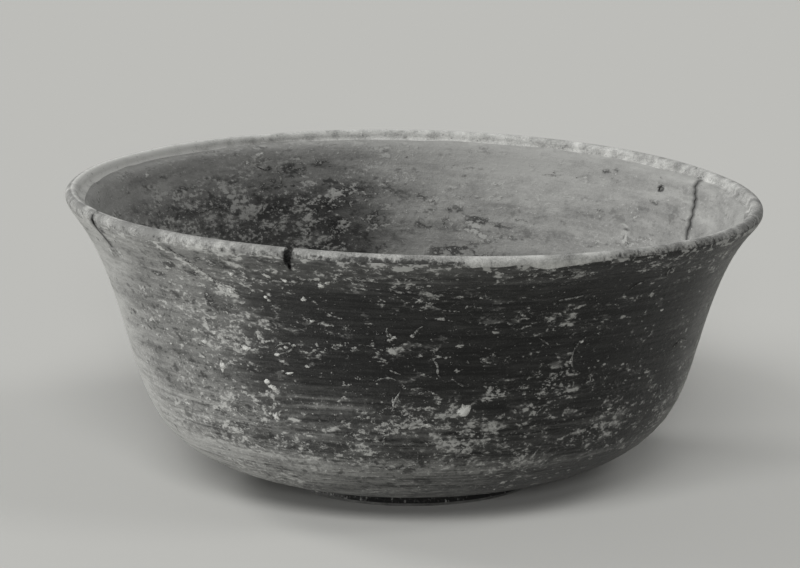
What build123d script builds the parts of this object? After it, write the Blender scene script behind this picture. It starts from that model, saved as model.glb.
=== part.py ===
from build123d import *
from math import cos, pi, sin
import os

# A flaring bowl of fine clay: thrown and turned, set on a foot ring that was formed apart and
# luted on, and coated with a thin slip inside and out. Lengths are in millimetres.
# The origin is the centre of the foot's resting face and +Z is up. An azimuth is in degrees from
# the front, -Y, towards +X.

# Overall size
RIM_DIAMETER = 150.0        # over the slip at its widest, just under the lip
HEIGHT = 64.5               # from the resting face to the top of the lip

# Thickness of the thrown clay
LIP_THICKNESS = 2.8
WALL_THICKNESS = 4.2        # half way up the wall
FLOOR_THICKNESS = 5.5       # at the centre and under the heel
SLIP_THICKNESS = 0.25

# Foot ring and the clay that bonds it
FOOT_DIAMETER = 52.8        # bare clay, at the ring's upright outer face
FOOT_HEIGHT = 3.2
FOOT_WIDTH = 3.8
FOOT_REST_WIDTH = 2.4       # the worn edge that it stands on
FOOT_EDGE_HEIGHT = 0.8      # how high the worn edge reaches up both sides
LUTING_THICKNESS = 0.4
LUTING_FILLET = 1.2
SEAT_MARGIN = 0.9           # flat turned seat beyond the luting clay, on both sides
UNDERSIDE_DROP = 1.2        # how far the underside's centre hangs below the seat

# Damage to the lip: a nick, and two cracks whose tips lie to one side of their mouths
NICK_AZIMUTH = -20.0
NICK_WIDTH = 1.4
NICK_DEPTH = 4.0
NICK_TIP_share = 0.5        # width at the bottom, as a share of the width at the lip
LEFT_CRACK_AZIMUTH = -64.5
LEFT_CRACK_WIDTH = 0.5
LEFT_CRACK_LENGTH = 9.0
LEFT_CRACK_LEAN = 2.4
RIGHT_CRACK_AZIMUTH = 116.0
RIGHT_CRACK_WIDTH = 0.8
RIGHT_CRACK_LENGTH = 14.5
RIGHT_CRACK_LEAN = 10.0
CRACK_TIP_share = 0.25

# Lime that grew on the outside
LIME_LARGE = 3.2            # greatest diameter of a large spot
LIME_MIDDLE = 2.4
LIME_SMALL = 1.7
LIME_RISE = 0.4             # how far a spot stands out from the slip
LIME_CLEARANCE = 0.06       # between a spot and the slip under it
LIME_OUTLINE_shares = (1.0, 0.82, 0.95, 0.74, 0.98, 0.88, 0.70)     # of its radius, round the spot
LIME_TOP_share = 0.6        # width of a spot's top, as a share of its width one rise below the slip

# The outer profile between the seat's edge and the lip, as shares of the way out and of the way up
PROFILE_shares = (
    (0.208, 0.029), (0.391, 0.088), (0.531, 0.173), (0.630, 0.297), (0.703, 0.469),
    (0.774, 0.652), (0.850, 0.805), (0.919, 0.903), (0.971, 0.958),
)
# Where the inner profile is set off from the outer one, as shares of the way along it
WALL_STATION_shares = (0.12, 0.26, 0.40, 0.55, 0.70, 0.82, 0.91, 0.96)
WALL_MIDDLE_share = 0.5     # where along the profile the wall is WALL_THICKNESS

# Azimuth, share of the way along the outer profile, and diameter of each lime spot
LIME_SPOT_shares = (
    (10, 0.54, LIME_LARGE), (-28, 0.59, LIME_MIDDLE), (-24, 0.63, LIME_SMALL), (-20, 0.65, LIME_SMALL),
    (-39, 0.62, LIME_MIDDLE), (-28, 0.50, LIME_SMALL), (-4, 0.56, LIME_SMALL), (31, 0.73, LIME_MIDDLE),
    (74, 0.58, LIME_SMALL), (151, 0.63, LIME_MIDDLE), (-118, 0.71, LIME_LARGE),
)

rim_r = RIM_DIAMETER / 2
lip_r = LIP_THICKNESS / 2
lip_z = HEIGHT - lip_r                          # where the rounded lip begins
seat_z = FOOT_HEIGHT + LUTING_THICKNESS
ring_out = FOOT_DIAMETER / 2
ring_in = ring_out - FOOT_WIDTH
luting_out = ring_out + LUTING_FILLET
luting_in = ring_in - LUTING_FILLET
seat_out = luting_out + SEAT_MARGIN
seat_in = luting_in - SEAT_MARGIN
fillet_z = seat_z - LUTING_FILLET               # where the luting fillets meet the ring
underside_z = seat_z - UNDERSIDE_DROP
floor_z = underside_z + FLOOR_THICKNESS


def point(r, z):
    """A point of the half section, at a radius and a height."""
    return Vector(r, 0, z)


def arc(start, end, centre, radius):
    """A quarter fillet between two points, bulging towards the corner that it rounds."""
    out = ((start + end) * (1 / 2) - centre).normalized()
    return ThreePointArc(start, centre + out * radius, end)


def turned(*lines):
    """The solid that the closed half section of these lines makes when it is turned on the wheel."""
    edges = [edge for line in lines for edge in line.edges()]
    return revolve(make_face(edges), Axis.Z)


def square_to(tangent):
    """The direction from a profile point into the bowl, square to the profile."""
    return Vector(-tangent.Z, 0, tangent.X)


def outer_stations():
    """The points of the outer slip's surface, from the seat's edge up to just under the lip."""
    low = point(seat_out, seat_z - SLIP_THICKNESS)
    high = point(rim_r, lip_z)
    between = [
        point(low.X + out * (high.X - low.X), low.Z + up * (high.Z - low.Z))
        for out, up in PROFILE_shares
    ]
    return [low, *between, high]


def wall_thickness(share):
    """The clay's thickness at this share of the way from the seat's edge to the lip."""
    if share > WALL_MIDDLE_share:
        rise = (share - WALL_MIDDLE_share) / (1 - WALL_MIDDLE_share)
        return WALL_THICKNESS + (LIP_THICKNESS - WALL_THICKNESS) * rise
    return FLOOR_THICKNESS + (WALL_THICKNESS - FLOOR_THICKNESS) * share / WALL_MIDDLE_share


def profile(points, start_along, end_along):
    """One smooth curve through the points, leaving and arriving along the two unit directions."""
    return Spline(*points, tangents=[start_along, end_along], tangent_scalars=[1, 1])


OUT, UP = Vector(1, 0, 0), Vector(0, 0, 1)
FRONT_AZIMUTH = 90          # the half section is drawn along +X, a quarter turn past the front

# The four surfaces of the wall: slip and clay outside, clay and slip inside
slip_outside = profile(outer_stations(), OUT, UP)


def clay_outside_stations():
    """The clay's points under the outer slip's points, one slip thickness deeper."""
    inner = []
    for station in outer_stations()[1:-1]:
        tangent = slip_outside.tangent_at(slip_outside.param_at_point(station))
        inner.append(station + square_to(tangent) * SLIP_THICKNESS)
    return [point(seat_out, seat_z), *inner, point(rim_r - SLIP_THICKNESS, lip_z)]


clay_outside = profile(clay_outside_stations(), OUT, UP)


def inside_stations(depth):
    """Points of the hollow's surface, from the lip to the centre, raised by a coat of this depth."""
    lip_inside = point(rim_r - SLIP_THICKNESS - LIP_THICKNESS - depth, lip_z)
    wall = [
        clay_outside @ share + square_to(clay_outside % share) * (wall_thickness(share) + depth)
        for share in reversed(WALL_STATION_shares)
    ]
    return [lip_inside, *wall, point(0, floor_z + depth)]


clay_inside = profile(inside_stations(0), -UP, -OUT)
slip_inside = profile(inside_stations(SLIP_THICKNESS), -UP, -OUT)


def crack_cut(azimuth, width, tip_share, length, lean):
    """A tapering slot through the wall, from above the lip down to a tip that leans sideways."""
    mouth_z, tip_z = HEIGHT + LIP_THICKNESS, HEIGHT - length
    half, half_tip = width / 2, width / 2 * tip_share
    slot = Polyline(
        (-half, 0, HEIGHT), (-half, 0, mouth_z), (half, 0, mouth_z), (half, 0, HEIGHT),
        (lean + half_tip, 0, tip_z), (lean - half_tip, 0, tip_z),
        close=True,
    )
    blade = extrude(make_face(slot), amount=rim_r, dir=(0, -1, 0))
    return blade.moved(Location((0, -rim_r / 2, 0))).rotate(Axis.Z, azimuth)


def damage():
    """The nick in the front of the lip, and the cracks that run down from the lip left and right."""
    return [
        crack_cut(NICK_AZIMUTH, NICK_WIDTH, NICK_TIP_share, NICK_DEPTH, 0),
        crack_cut(LEFT_CRACK_AZIMUTH, LEFT_CRACK_WIDTH, CRACK_TIP_share, LEFT_CRACK_LENGTH, LEFT_CRACK_LEAN),
        crack_cut(RIGHT_CRACK_AZIMUTH, RIGHT_CRACK_WIDTH, CRACK_TIP_share, RIGHT_CRACK_LENGTH, -RIGHT_CRACK_LEAN),
    ]


def bowl_body():
    """Floor, wall and rounded lip, thrown in one piece, with a flat seat turned for the foot ring."""
    outer_lip, inner_lip = clay_outside @ 1, clay_inside @ 0
    lip = ThreePointArc(outer_lip, point(outer_lip.X - lip_r, HEIGHT), inner_lip)
    return turned(
        clay_outside, lip, clay_inside,
        Line(point(0, floor_z), point(0, underside_z)),
        Line(point(0, underside_z), point(seat_in, seat_z)),
        Line(point(seat_in, seat_z), point(seat_out, seat_z)),
    )


def foot_ring():
    """The ring that the bowl stands on, upright at the top and worn to a narrower edge below."""
    worn = (FOOT_WIDTH - FOOT_REST_WIDTH) / 2
    section = Polyline(
        point(ring_in + worn, 0), point(ring_out - worn, 0), point(ring_out, FOOT_EDGE_HEIGHT),
        point(ring_out, FOOT_HEIGHT), point(ring_in, FOOT_HEIGHT), point(ring_in, FOOT_EDGE_HEIGHT),
        close=True,
    )
    return turned(section)


def fillet_outside(coat):
    """The outer luting fillet's curve, from the ring up to the seat, under a coat of this depth."""
    centre = point(luting_out, fillet_z)
    return arc(point(ring_out + coat, fillet_z), point(luting_out, seat_z - coat), centre, LUTING_FILLET - coat)


def fillet_inside(coat):
    """The same on the ring's inner side, from the seat down to the ring."""
    centre = point(luting_in, fillet_z)
    return arc(point(luting_in, seat_z - coat), point(ring_in - coat, fillet_z), centre, LUTING_FILLET - coat)


def luting_clay():
    """The bond between ring and seat, with a smoothed fillet on each side."""
    return turned(
        fillet_outside(0),
        Line(point(luting_out, seat_z), point(luting_in, seat_z)),
        fillet_inside(0),
        Polyline(
            point(ring_in, fillet_z), point(ring_in, FOOT_HEIGHT),
            point(ring_out, FOOT_HEIGHT), point(ring_out, fillet_z),
        ),
    )


def outer_slip():
    """The coat from the foot's outer face, over the fillet and the heel, up to the bare lip."""
    coat = SLIP_THICKNESS
    return turned(
        Line(point(ring_out + coat, FOOT_EDGE_HEIGHT), point(ring_out + coat, fillet_z)),
        fillet_outside(coat),
        Line(point(luting_out, seat_z - coat), point(seat_out, seat_z - coat)),
        slip_outside,
        Line(point(rim_r, lip_z), point(rim_r - coat, lip_z)),
        clay_outside,
        Line(point(seat_out, seat_z), point(luting_out, seat_z)),
        fillet_outside(0),
        Polyline(
            point(ring_out, fillet_z), point(ring_out, FOOT_EDGE_HEIGHT),
            point(ring_out + coat, FOOT_EDGE_HEIGHT),
        ),
    )


def inner_slip():
    """The coat over the hollow's floor and wall, up to the bare lip."""
    return turned(
        clay_inside, Line(clay_inside @ 1, slip_inside @ 1),
        slip_inside, Line(slip_inside @ 0, clay_inside @ 0),
    )


def base_slip():
    """The coat on the underside inside the ring, down the ring's inner face to the worn edge."""
    coat = SLIP_THICKNESS
    return turned(
        Polyline(
            point(luting_in, seat_z), point(seat_in, seat_z), point(0, underside_z),
            point(0, underside_z - coat), point(seat_in, seat_z - coat), point(luting_in, seat_z - coat),
        ),
        fillet_inside(coat),
        Polyline(
            point(ring_in - coat, fillet_z), point(ring_in - coat, FOOT_EDGE_HEIGHT),
            point(ring_in, FOOT_EDGE_HEIGHT), point(ring_in, fillet_z),
        ),
        fillet_inside(0),
    )


def bowl_envelope():
    """Everything within the outer slip's surface, hollow included, to cut what lies on it."""
    top, bottom = slip_outside @ 1, slip_outside @ 0
    return turned(
        slip_outside,
        Polyline(top, point(0, top.Z), point(0, bottom.Z), bottom),
    )


def lime_crust(diameter):
    """One uneven crust with sloping sides, its middle on the slip's surface and +Z away from it."""
    def outline(share, height):
        corners = []
        for step, reach in enumerate(LIME_OUTLINE_shares):
            angle = 2 * pi * step / len(LIME_OUTLINE_shares)
            r = diameter / 2 * reach * share
            corners.append((r * cos(angle), r * sin(angle), height))
        return make_face(Polyline(*corners, close=True))

    return loft([outline(1, -LIME_RISE), outline(LIME_TOP_share, LIME_RISE)], ruled=True)


def lime_spots():
    """Small crusts of lime, each lying on the outer slip and shaped to it."""
    envelope = bowl_envelope()
    spots = []
    for azimuth, share, diameter in LIME_SPOT_shares:
        turn = azimuth - FRONT_AZIMUTH
        away = -square_to(slip_outside % share)
        place = Plane(slip_outside @ share, x_dir=(0, 1, 0), z_dir=away)
        spot = (place * lime_crust(diameter)).rotate(Axis.Z, turn) - envelope
        spots += spot.moved(Location(away.rotate(Axis.Z, turn) * LIME_CLEARANCE)).solids()
    return Compound(children=spots)


def write(name, shape):
    """One STEP file for one sub-part."""
    solids = shape.solids()
    shape = solids[0] if len(solids) == 1 else Compound(children=solids)
    shape.label = name
    export_step(shape, f"parts/{name}.step")
    print(f"{name}: {len(solids)} solid, {sum(solid.volume for solid in solids) / 1000:.3f} cm3")


os.makedirs("parts", exist_ok=True)
cuts = damage()
write("bowl_body", bowl_body() - cuts)
write("foot_ring", foot_ring())
write("luting_clay", luting_clay())
write("outer_slip", outer_slip() - cuts)
write("inner_slip", inner_slip() - cuts)
write("base_slip", base_slip())
write("lime_spots", lime_spots())
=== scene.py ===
# %% [markdown]
# # An old slip-coated bowl
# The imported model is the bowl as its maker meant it: level, round and smooth. This lesson turns the
# same half section again with far more points, lets the clay sag as it did in the kiln, breaks it,
# coats it, wears the coat down and lets lime grow on it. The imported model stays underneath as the
# frame: its boxes give every size, and each new piece takes the place of one of its nodes.

from math import cos, pi, radians, sin

import bpy
import numpy as np
from mathutils import Matrix, Vector
from mathutils.kdtree import KDTree


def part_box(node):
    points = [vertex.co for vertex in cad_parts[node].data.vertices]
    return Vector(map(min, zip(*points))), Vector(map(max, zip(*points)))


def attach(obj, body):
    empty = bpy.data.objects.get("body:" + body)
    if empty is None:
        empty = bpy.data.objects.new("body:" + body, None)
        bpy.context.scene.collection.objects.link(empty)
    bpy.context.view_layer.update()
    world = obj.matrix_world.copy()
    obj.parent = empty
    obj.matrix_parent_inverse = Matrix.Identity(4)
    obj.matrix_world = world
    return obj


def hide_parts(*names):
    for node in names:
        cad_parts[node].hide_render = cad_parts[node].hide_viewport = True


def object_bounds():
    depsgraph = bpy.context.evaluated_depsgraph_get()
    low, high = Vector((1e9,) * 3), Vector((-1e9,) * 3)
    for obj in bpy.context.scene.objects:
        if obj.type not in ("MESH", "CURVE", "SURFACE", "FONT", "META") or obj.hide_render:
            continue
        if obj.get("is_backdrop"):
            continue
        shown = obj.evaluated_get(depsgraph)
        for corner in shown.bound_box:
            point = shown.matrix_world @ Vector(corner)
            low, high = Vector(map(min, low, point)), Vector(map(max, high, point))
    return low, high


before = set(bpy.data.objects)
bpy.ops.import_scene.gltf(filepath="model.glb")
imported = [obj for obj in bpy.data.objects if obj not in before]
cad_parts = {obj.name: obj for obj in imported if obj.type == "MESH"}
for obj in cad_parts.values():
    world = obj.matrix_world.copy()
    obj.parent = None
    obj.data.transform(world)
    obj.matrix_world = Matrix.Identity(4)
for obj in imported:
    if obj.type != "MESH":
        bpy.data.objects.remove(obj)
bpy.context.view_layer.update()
scene = bpy.context.scene
MM = 0.001


def new_object(name, data):
    """A new object that shows this data, linked into the scene."""
    made = bpy.data.objects.new(name, data)
    scene.collection.objects.link(made)
    return made


# %% [markdown]
# ## Measures
# A potter would check a bowl with callipers. Here the callipers are the boxes of the CAD nodes. The
# few lengths that a box can't show, such as how thick the wall is half way up, are written out.

# %% Read the measures off the frame
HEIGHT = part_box("bowl_body")[1].z
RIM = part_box("outer_slip")[1].x
LIP_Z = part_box("outer_slip")[1].z                   # where the rounded lip begins
LIP_RADIUS = HEIGHT - LIP_Z
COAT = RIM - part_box("bowl_body")[1].x
RING_OUT, SEAT_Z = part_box("foot_ring")[1].x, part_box("luting_clay")[1].z
RING_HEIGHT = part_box("foot_ring")[1].z
LUTING_OUT, FILLET_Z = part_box("luting_clay")[1].x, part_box("luting_clay")[0].z
FILLET = LUTING_OUT - RING_OUT
RING_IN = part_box("base_slip")[1].x                  # the base coat runs down the ring's inner face
FOOT_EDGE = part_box("base_slip")[0].z                # the coats end here, above the worn edge
LUTING_IN = RING_IN - FILLET
SEAT_MARGIN = 0.9 * MM                              # the flat seat reaches this far past the fillets
SEAT_OUT, SEAT_IN = LUTING_OUT + SEAT_MARGIN, LUTING_IN - SEAT_MARGIN
MIDDLE_DROP = 1.2 * MM                              # the underside hangs this much lower in its middle
UNDERSIDE_Z = SEAT_Z - MIDDLE_DROP
FLOOR_THICKNESS, WALL_THICKNESS, LIP_THICKNESS = 5.5 * MM, 4.2 * MM, 2 * LIP_RADIUS
FLOOR_Z = UNDERSIDE_Z + FLOOR_THICKNESS
LIP_MIDDLE = RIM - COAT - LIP_RADIUS
REST_WIDTH = 2.4 * MM
for name, value in (("height", HEIGHT), ("rim radius", RIM), ("lip radius", LIP_RADIUS), ("coat", COAT),
                    ("ring", RING_OUT), ("ring inside", RING_IN), ("seat", SEAT_Z)):
    print(f"{name}: {value / MM:.2f} mm")

# %% [markdown]
# ## The wall's curves
# Four curves make the wall: coat and clay, outside and inside. Each is one smooth curve through a few
# stations, with its two end directions fixed, which is how a bent spline of wood behaves. A cubic
# spline does the same with a small set of equations, so numpy is enough. A place on the bowl is then
# three plain numbers: an azimuth in degrees from the front, a share of the way up the curve to the
# lip, and how far it stands away from the clay.

# %% The spline and its four curves
STEPS_BETWEEN = 60          # samples between two stations
SAMPLES = 900               # even samples that the finished curve keeps


def spline(points, first, last):
    """Close samples of the smooth curve through the points, with these unit directions at its ends."""
    points = np.array(points, float)
    gaps = np.hypot(*np.diff(points, axis=0).T)
    rates = np.diff(points, axis=0) / gaps[:, None]
    count = len(points)
    system, right = np.eye(count), np.zeros((count, 2))
    right[0], right[-1] = first, last
    for k in range(1, count - 1):
        system[k, k - 1 : k + 2] = gaps[k], 2 * (gaps[k - 1] + gaps[k]), gaps[k - 1]
        right[k] = 3 * (gaps[k] * rates[k - 1] + gaps[k - 1] * rates[k])
    slopes = np.linalg.solve(system, right)
    t = np.linspace(0, 1, STEPS_BETWEEN, endpoint=False)[:, None]
    spans = [
        points[k] * (1 + 2 * t) * (1 - t) ** 2 + points[k + 1] * t**2 * (3 - 2 * t)
        + gaps[k] * (slopes[k] * t * (1 - t) ** 2 + slopes[k + 1] * t**2 * (t - 1))
        for k in range(count - 1)
    ]
    return np.concatenate([*spans, points[-1:]])


class Curve:
    """A curve of the half section, read by the share of the way along it, from the foot to the lip."""

    def __init__(self, samples, away_sign):
        walked = np.concatenate([[0], np.cumsum(np.hypot(*np.diff(samples, axis=0).T))])
        self.length = walked[-1]
        self.shares = np.linspace(0, 1, SAMPLES)
        self.rz = np.stack([np.interp(self.shares * self.length, walked, samples[:, k]) for k in (0, 1)], 1)
        along = np.gradient(self.rz, axis=0)
        self.along = along / np.hypot(*along.T)[:, None]
        self.away = away_sign * np.stack([self.along[:, 1], -self.along[:, 0]], 1)
        self.tree = KDTree(SAMPLES)
        for k, (r, z) in enumerate(self.rz):
            self.tree.insert((r, z, 0), k)
        self.tree.balance()

    def read(self, table, share):
        return np.stack([np.interp(share, self.shares, table[:, k]) for k in (0, 1)], -1)

    def at(self, share, lift=0.0):
        """Radius and height of a point, lifted away from the clay."""
        return self.read(self.rz, share) + self.read(self.away, share) * np.asarray(lift)[..., None]

    def nearest(self, rz):
        """The share and the lift of points given by radius and height."""
        near = np.array([self.tree.find((r, z, 0))[1] for r, z in rz])
        apart = rz - self.rz[near]
        share = self.shares[near] + (apart * self.along[near]).sum(1) / self.length
        return np.clip(share, 0, 1), (apart * self.away[near]).sum(1)


OUT, UP = (1, 0), (0, 1)
# Shares of the way out and of the way up, from the seat's edge to the lip
PROFILE_SHARES = (
    (0.208, 0.029), (0.391, 0.088), (0.531, 0.173), (0.630, 0.297), (0.703, 0.469),
    (0.774, 0.652), (0.850, 0.805), (0.919, 0.903), (0.971, 0.958),
)
WALL_STATION_SHARES = (0.12, 0.26, 0.40, 0.55, 0.70, 0.82, 0.91, 0.96)
low, high = np.array([SEAT_OUT, SEAT_Z - COAT]), np.array([RIM, LIP_Z])
stations = [low + np.array(share) * (high - low) for share in PROFILE_SHARES]
slip_outside = Curve(spline([low, *stations, high], OUT, UP), 1)
clay_outside = Curve(slip_outside.at(slip_outside.shares, -COAT), 1)


def wall_thickness(share):
    """The clay's thickness: thickest at the floor, thinning to the lip."""
    lower = FLOOR_THICKNESS + (WALL_THICKNESS - FLOOR_THICKNESS) * share / 0.5
    upper = WALL_THICKNESS + (LIP_THICKNESS - WALL_THICKNESS) * (share - 0.5) / 0.5
    return upper if share > 0.5 else lower


def inside_curve(depth):
    """The hollow's curve from its centre to the lip, raised by a coat of this depth."""
    centre = (0, FLOOR_Z + depth)
    wall = [clay_outside.at(share, -wall_thickness(share) - depth) for share in WALL_STATION_SHARES]
    return Curve(spline([centre, *wall, (RIM - COAT - LIP_THICKNESS - depth, LIP_Z)], OUT, UP), -1)


clay_inside, slip_inside = inside_curve(0), inside_curve(COAT)
print(f"outer curve {slip_outside.length / MM:.1f} mm, inner curve {slip_inside.length / MM:.1f} mm")

# %% [markdown]
# ## The camera
# The photograph was taken from a little above the lip with a long lens. The camera looks from the
# front, -Y, and is aimed slightly up and to the left of the bowl's middle, as the framing shows, so
# it needs no shift.

# %% Place the camera
CAMERA_DISTANCE = 895 * MM
CAMERA_ELEVATION = radians(12.262)
CAMERA_ROLL = radians(-0.405)
LENS, SENSOR = 187.33, 36.0
AIM_LEFT, AIM_UP = 2.83 * MM, 9.99 * MM             # in the plane of view, through the middle

middle = Vector((0, 0, HEIGHT / 2))
back = Vector((0, -cos(CAMERA_ELEVATION), sin(CAMERA_ELEVATION)))
up = Vector((0, sin(CAMERA_ELEVATION), cos(CAMERA_ELEVATION)))
eye = middle + back * CAMERA_DISTANCE
aim = middle + Vector((-AIM_LEFT, 0, 0)) + up * AIM_UP
turn = (eye - aim).to_track_quat("Z", "Y").to_matrix().to_4x4()

camera = new_object("camera", bpy.data.cameras.new("camera"))
camera.data.lens, camera.data.sensor_width = LENS, SENSOR
camera.matrix_world = Matrix.Translation(eye) @ turn @ Matrix.Rotation(CAMERA_ROLL, 4, "Z")
scene.camera = camera
scene.view_settings.view_transform = "Standard"
print("the camera stands at", [round(x, 3) for x in eye])

# %% [markdown]
# ## Greys
# The photograph is black and white, so the materials are near-neutral greys with the slight warmth of
# the print. A tone is written as it would be read off a picture, from 0 to 255, and turned into the
# linear colour that Blender calculates with.

# %% A tone becomes a colour
WARMTH = (1.0, 1.0, 0.955)


def tone(level):
    """The linear colour of a grey that reads as this level in a picture."""
    share = level / 255
    linear = ((share + 0.055) / 1.055) ** 2.4
    return tuple(linear * part for part in WARMTH) + (1.0,)


print("tone 185 is", [round(x, 3) for x in tone(185)])

# %% [markdown]
# ## Node helpers
# Both kinds of node tree are built with one small helper that makes a node, sets its options and
# fills its sockets, with a value or with a link.

# %% One helper for every node
def add(tree, kind, inputs=None, **options):
    """A new node. The inputs are keyed by socket name or number, and hold values or other sockets."""
    node = tree.nodes.new(kind)
    for name, value in options.items():
        setattr(node, name, value)
    for key, value in (inputs or {}).items():
        if isinstance(value, bpy.types.NodeSocket):
            tree.links.new(value, node.inputs[key])
        else:
            node.inputs[key].default_value = value
    return node


def out(tree, kind, inputs=None, **options):
    """The first output of a new node."""
    return add(tree, kind, inputs, **options).outputs[0]


def calc(tree, operation, first, second=0.0, third=0.0, clamp=False):
    """The result of a Math node."""
    inputs = {0: first, 1: second, 2: third}
    return out(tree, "ShaderNodeMath", inputs, operation=operation, use_clamp=clamp)


def times(tree, first, second, clamp=False):
    return calc(tree, "MULTIPLY", first, second, clamp=clamp)


def times_add(tree, first, second, third):
    return calc(tree, "MULTIPLY_ADD", first, second, third)


def vector_calc(tree, operation, first, second):
    """The result of a Vector Math node."""
    return out(tree, "ShaderNodeVectorMath", {0: first, 1: second}, operation=operation)


def geometry_tree(name, *sockets):
    """A Geometry Nodes tree with a geometry going in and out, and these named inputs and a material."""
    tree = bpy.data.node_groups.new(name, "GeometryNodeTree")
    tree.interface.new_socket("Geometry", in_out="INPUT", socket_type="NodeSocketGeometry")
    for label, kind, value in sockets:
        tree.interface.new_socket(label, in_out="INPUT", socket_type=kind).default_value = value
    tree.interface.new_socket("Material", in_out="INPUT", socket_type="NodeSocketMaterial")
    tree.interface.new_socket("Geometry", in_out="OUTPUT", socket_type="NodeSocketGeometry")
    return tree, add(tree, "NodeGroupInput").outputs, add(tree, "NodeGroupOutput")


def close_tree(tree, given, result, geometry):
    """Ends a tree: its geometry is made real, takes the material and goes out."""
    real = out(tree, "GeometryNodeRealizeInstances", {"Geometry": geometry})
    finish = out(tree, "GeometryNodeSetMaterial", {"Geometry": real, "Material": given["Material"]})
    tree.links.new(finish, result.inputs["Geometry"])
    return tree


def one_material(mesh, look):
    """Gives every face this material, and the mesh no other slot."""
    mesh.materials.clear()
    mesh.materials.append(look)
    mesh.polygons.foreach_set("material_index", [0] * len(mesh.polygons))


def evaluated_mesh(source):
    """A plain mesh of what an object's modifiers make of it."""
    bpy.context.view_layer.update()
    return bpy.data.meshes.new_from_object(source.evaluated_get(bpy.context.evaluated_depsgraph_get()))


def plain_mesh(source, name, tree, values):
    """Runs a tree on an object with these input values, and keeps the result as a plain mesh object."""
    modifier = source.modifiers.new("nodes", "NODES")
    modifier.node_group = tree
    for item in tree.interface.items_tree:
        if item.in_out == "INPUT" and item.name in values:
            modifier[item.identifier] = values[item.name]
    mesh = evaluated_mesh(source)
    mesh.name = name
    one_material(mesh, values["Material"])
    source.modifiers.remove(modifier)
    return new_object(name, mesh)


def outline_object(name, points, edges):
    """A mesh of bare points and edges, for a tree to work on."""
    mesh = bpy.data.meshes.new(name)
    mesh.from_pydata([tuple(map(float, point)) for point in points], edges, [])
    return new_object(name, mesh)


# %% [markdown]
# ## The potter's wheel
# Every pot here is a half section turned round an axis, so one Geometry Nodes tree makes them all. It
# lays out a grid with one column for each step round the wheel, looks up the section's point for each
# row, swings it to the column's azimuth, and welds the seam and the centre.

# %% The wheel as a tree
WELD = 0.001 * MM


def wheel_tree():
    tree, given, result = geometry_tree(
        "potters_wheel", ("Columns", "NodeSocketInt", 96), ("Weld", "NodeSocketFloat", WELD))
    size = add(tree, "GeometryNodeAttributeDomainSize", {"Geometry": given["Geometry"]})
    rows = size.outputs["Point Count"]
    around = out(tree, "FunctionNodeIntegerMath", {0: given["Columns"], 1: 1}, operation="ADD")
    grid = add(tree, "GeometryNodeMeshGrid", {"Vertices X": around, "Vertices Y": rows}).outputs["Mesh"]
    index = out(tree, "GeometryNodeInputIndex")
    row = out(tree, "FunctionNodeIntegerMath", {0: index, 1: rows}, operation="MODULO")
    column = out(tree, "FunctionNodeIntegerMath", {0: index, 1: rows}, operation="DIVIDE")
    position = out(tree, "GeometryNodeInputPosition")
    section = add(tree, "GeometryNodeSampleIndex",
                  {"Geometry": given["Geometry"], "Value": position, "Index": row}, data_type="FLOAT_VECTOR")
    parts = add(tree, "ShaderNodeSeparateXYZ", {0: section.outputs[0]}).outputs
    azimuth = calc(tree, "DIVIDE", times(tree, column, 2 * pi), given["Columns"])
    x = times(tree, parts["X"], calc(tree, "SINE", azimuth))
    y = times(tree, parts["X"], times(tree, calc(tree, "COSINE", azimuth), -1.0))
    place = out(tree, "ShaderNodeCombineXYZ", {0: x, 1: y, 2: parts["Z"]})
    turned = out(tree, "GeometryNodeSetPosition", {"Geometry": grid, "Position": place})
    welded = out(tree, "GeometryNodeMergeByDistance", {"Geometry": turned, "Distance": given["Weld"]})
    return close_tree(tree, given, result, welded)


WHEEL = wheel_tree()


def vectors(items, name, kind=float):
    """One vector of each of a mesh's items, as an array with a row for each."""
    flat = np.empty(len(items) * 3, kind)
    items.foreach_get(name, flat)
    return flat.reshape(-1, 3)


def corners(mesh):
    return vectors(mesh.vertices, "co")


def move(mesh, places):
    mesh.vertices.foreach_set("co", places.ravel())
    mesh.update()


def mark(mesh, name, values):
    """Keeps one value for each corner, where the shaders and the scatter can read it."""
    mesh.attributes.new(name, "FLOAT", "POINT").data.foreach_set("value", values.astype(np.float32))


def volume(mesh):
    """The volume that the mesh encloses, below zero if it is inside out."""
    mesh.calc_loop_triangles()
    a, b, c = corners(mesh)[vectors(mesh.loop_triangles, "vertices", int)].transpose(1, 0, 2)
    return (a * np.cross(b, c)).sum() / 6


def turned(name, section, columns, material):
    """A closed half section turned round the axis. The section is a list of radius and height."""
    points = [(r, 0, z) for r, z in section]
    edges = [(k, k + 1) for k in range(len(points) - 1)]
    drawn = outline_object(name + "_section", points, edges)
    made = plain_mesh(drawn, name, WHEEL, {"Columns": columns, "Weld": WELD, "Material": material})
    bpy.data.objects.remove(drawn)
    if volume(made.data) < 0:
        made.data.flip_normals()
    print(f"{name}: {len(made.data.polygons)} faces, {volume(made.data) / MM**3 / 1000:.2f} cm3")
    return made


# %% [markdown]
# ## Sections of the thrown pieces
# A section is walked like a drawing: up the outside, over the lip, down the inside. Rows lie close
# together where the surface shows and far apart where a coat hides it. The coats are drawn as closed
# shells whose inner skin is sunk a little into the clay, so no gap can open between them.

# %% Draw the sections
ROW, LOW_ROW, HIDDEN_ROW = 0.66 * MM, 1.1 * MM, 4.0 * MM
COLUMNS = 560
SUNK = 0.1 * MM


def rows(start, end, length, spacing=ROW):
    """Shares from start to end, this far apart on a curve of this length."""
    return np.linspace(start, end, max(2, round(abs(end - start) * length / spacing) + 1))


def round_corner(centre_r, centre_z, radius, start, end, steps=8):
    """A round stretch of a section, between two angles in degrees."""
    angles = np.radians(np.linspace(start, end, steps))
    return [(centre_r + radius * cos(a), centre_z + radius * sin(a)) for a in angles]


def outer_fillet(lift):
    return round_corner(LUTING_OUT, FILLET_Z, FILLET - lift, 180, 90)


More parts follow.
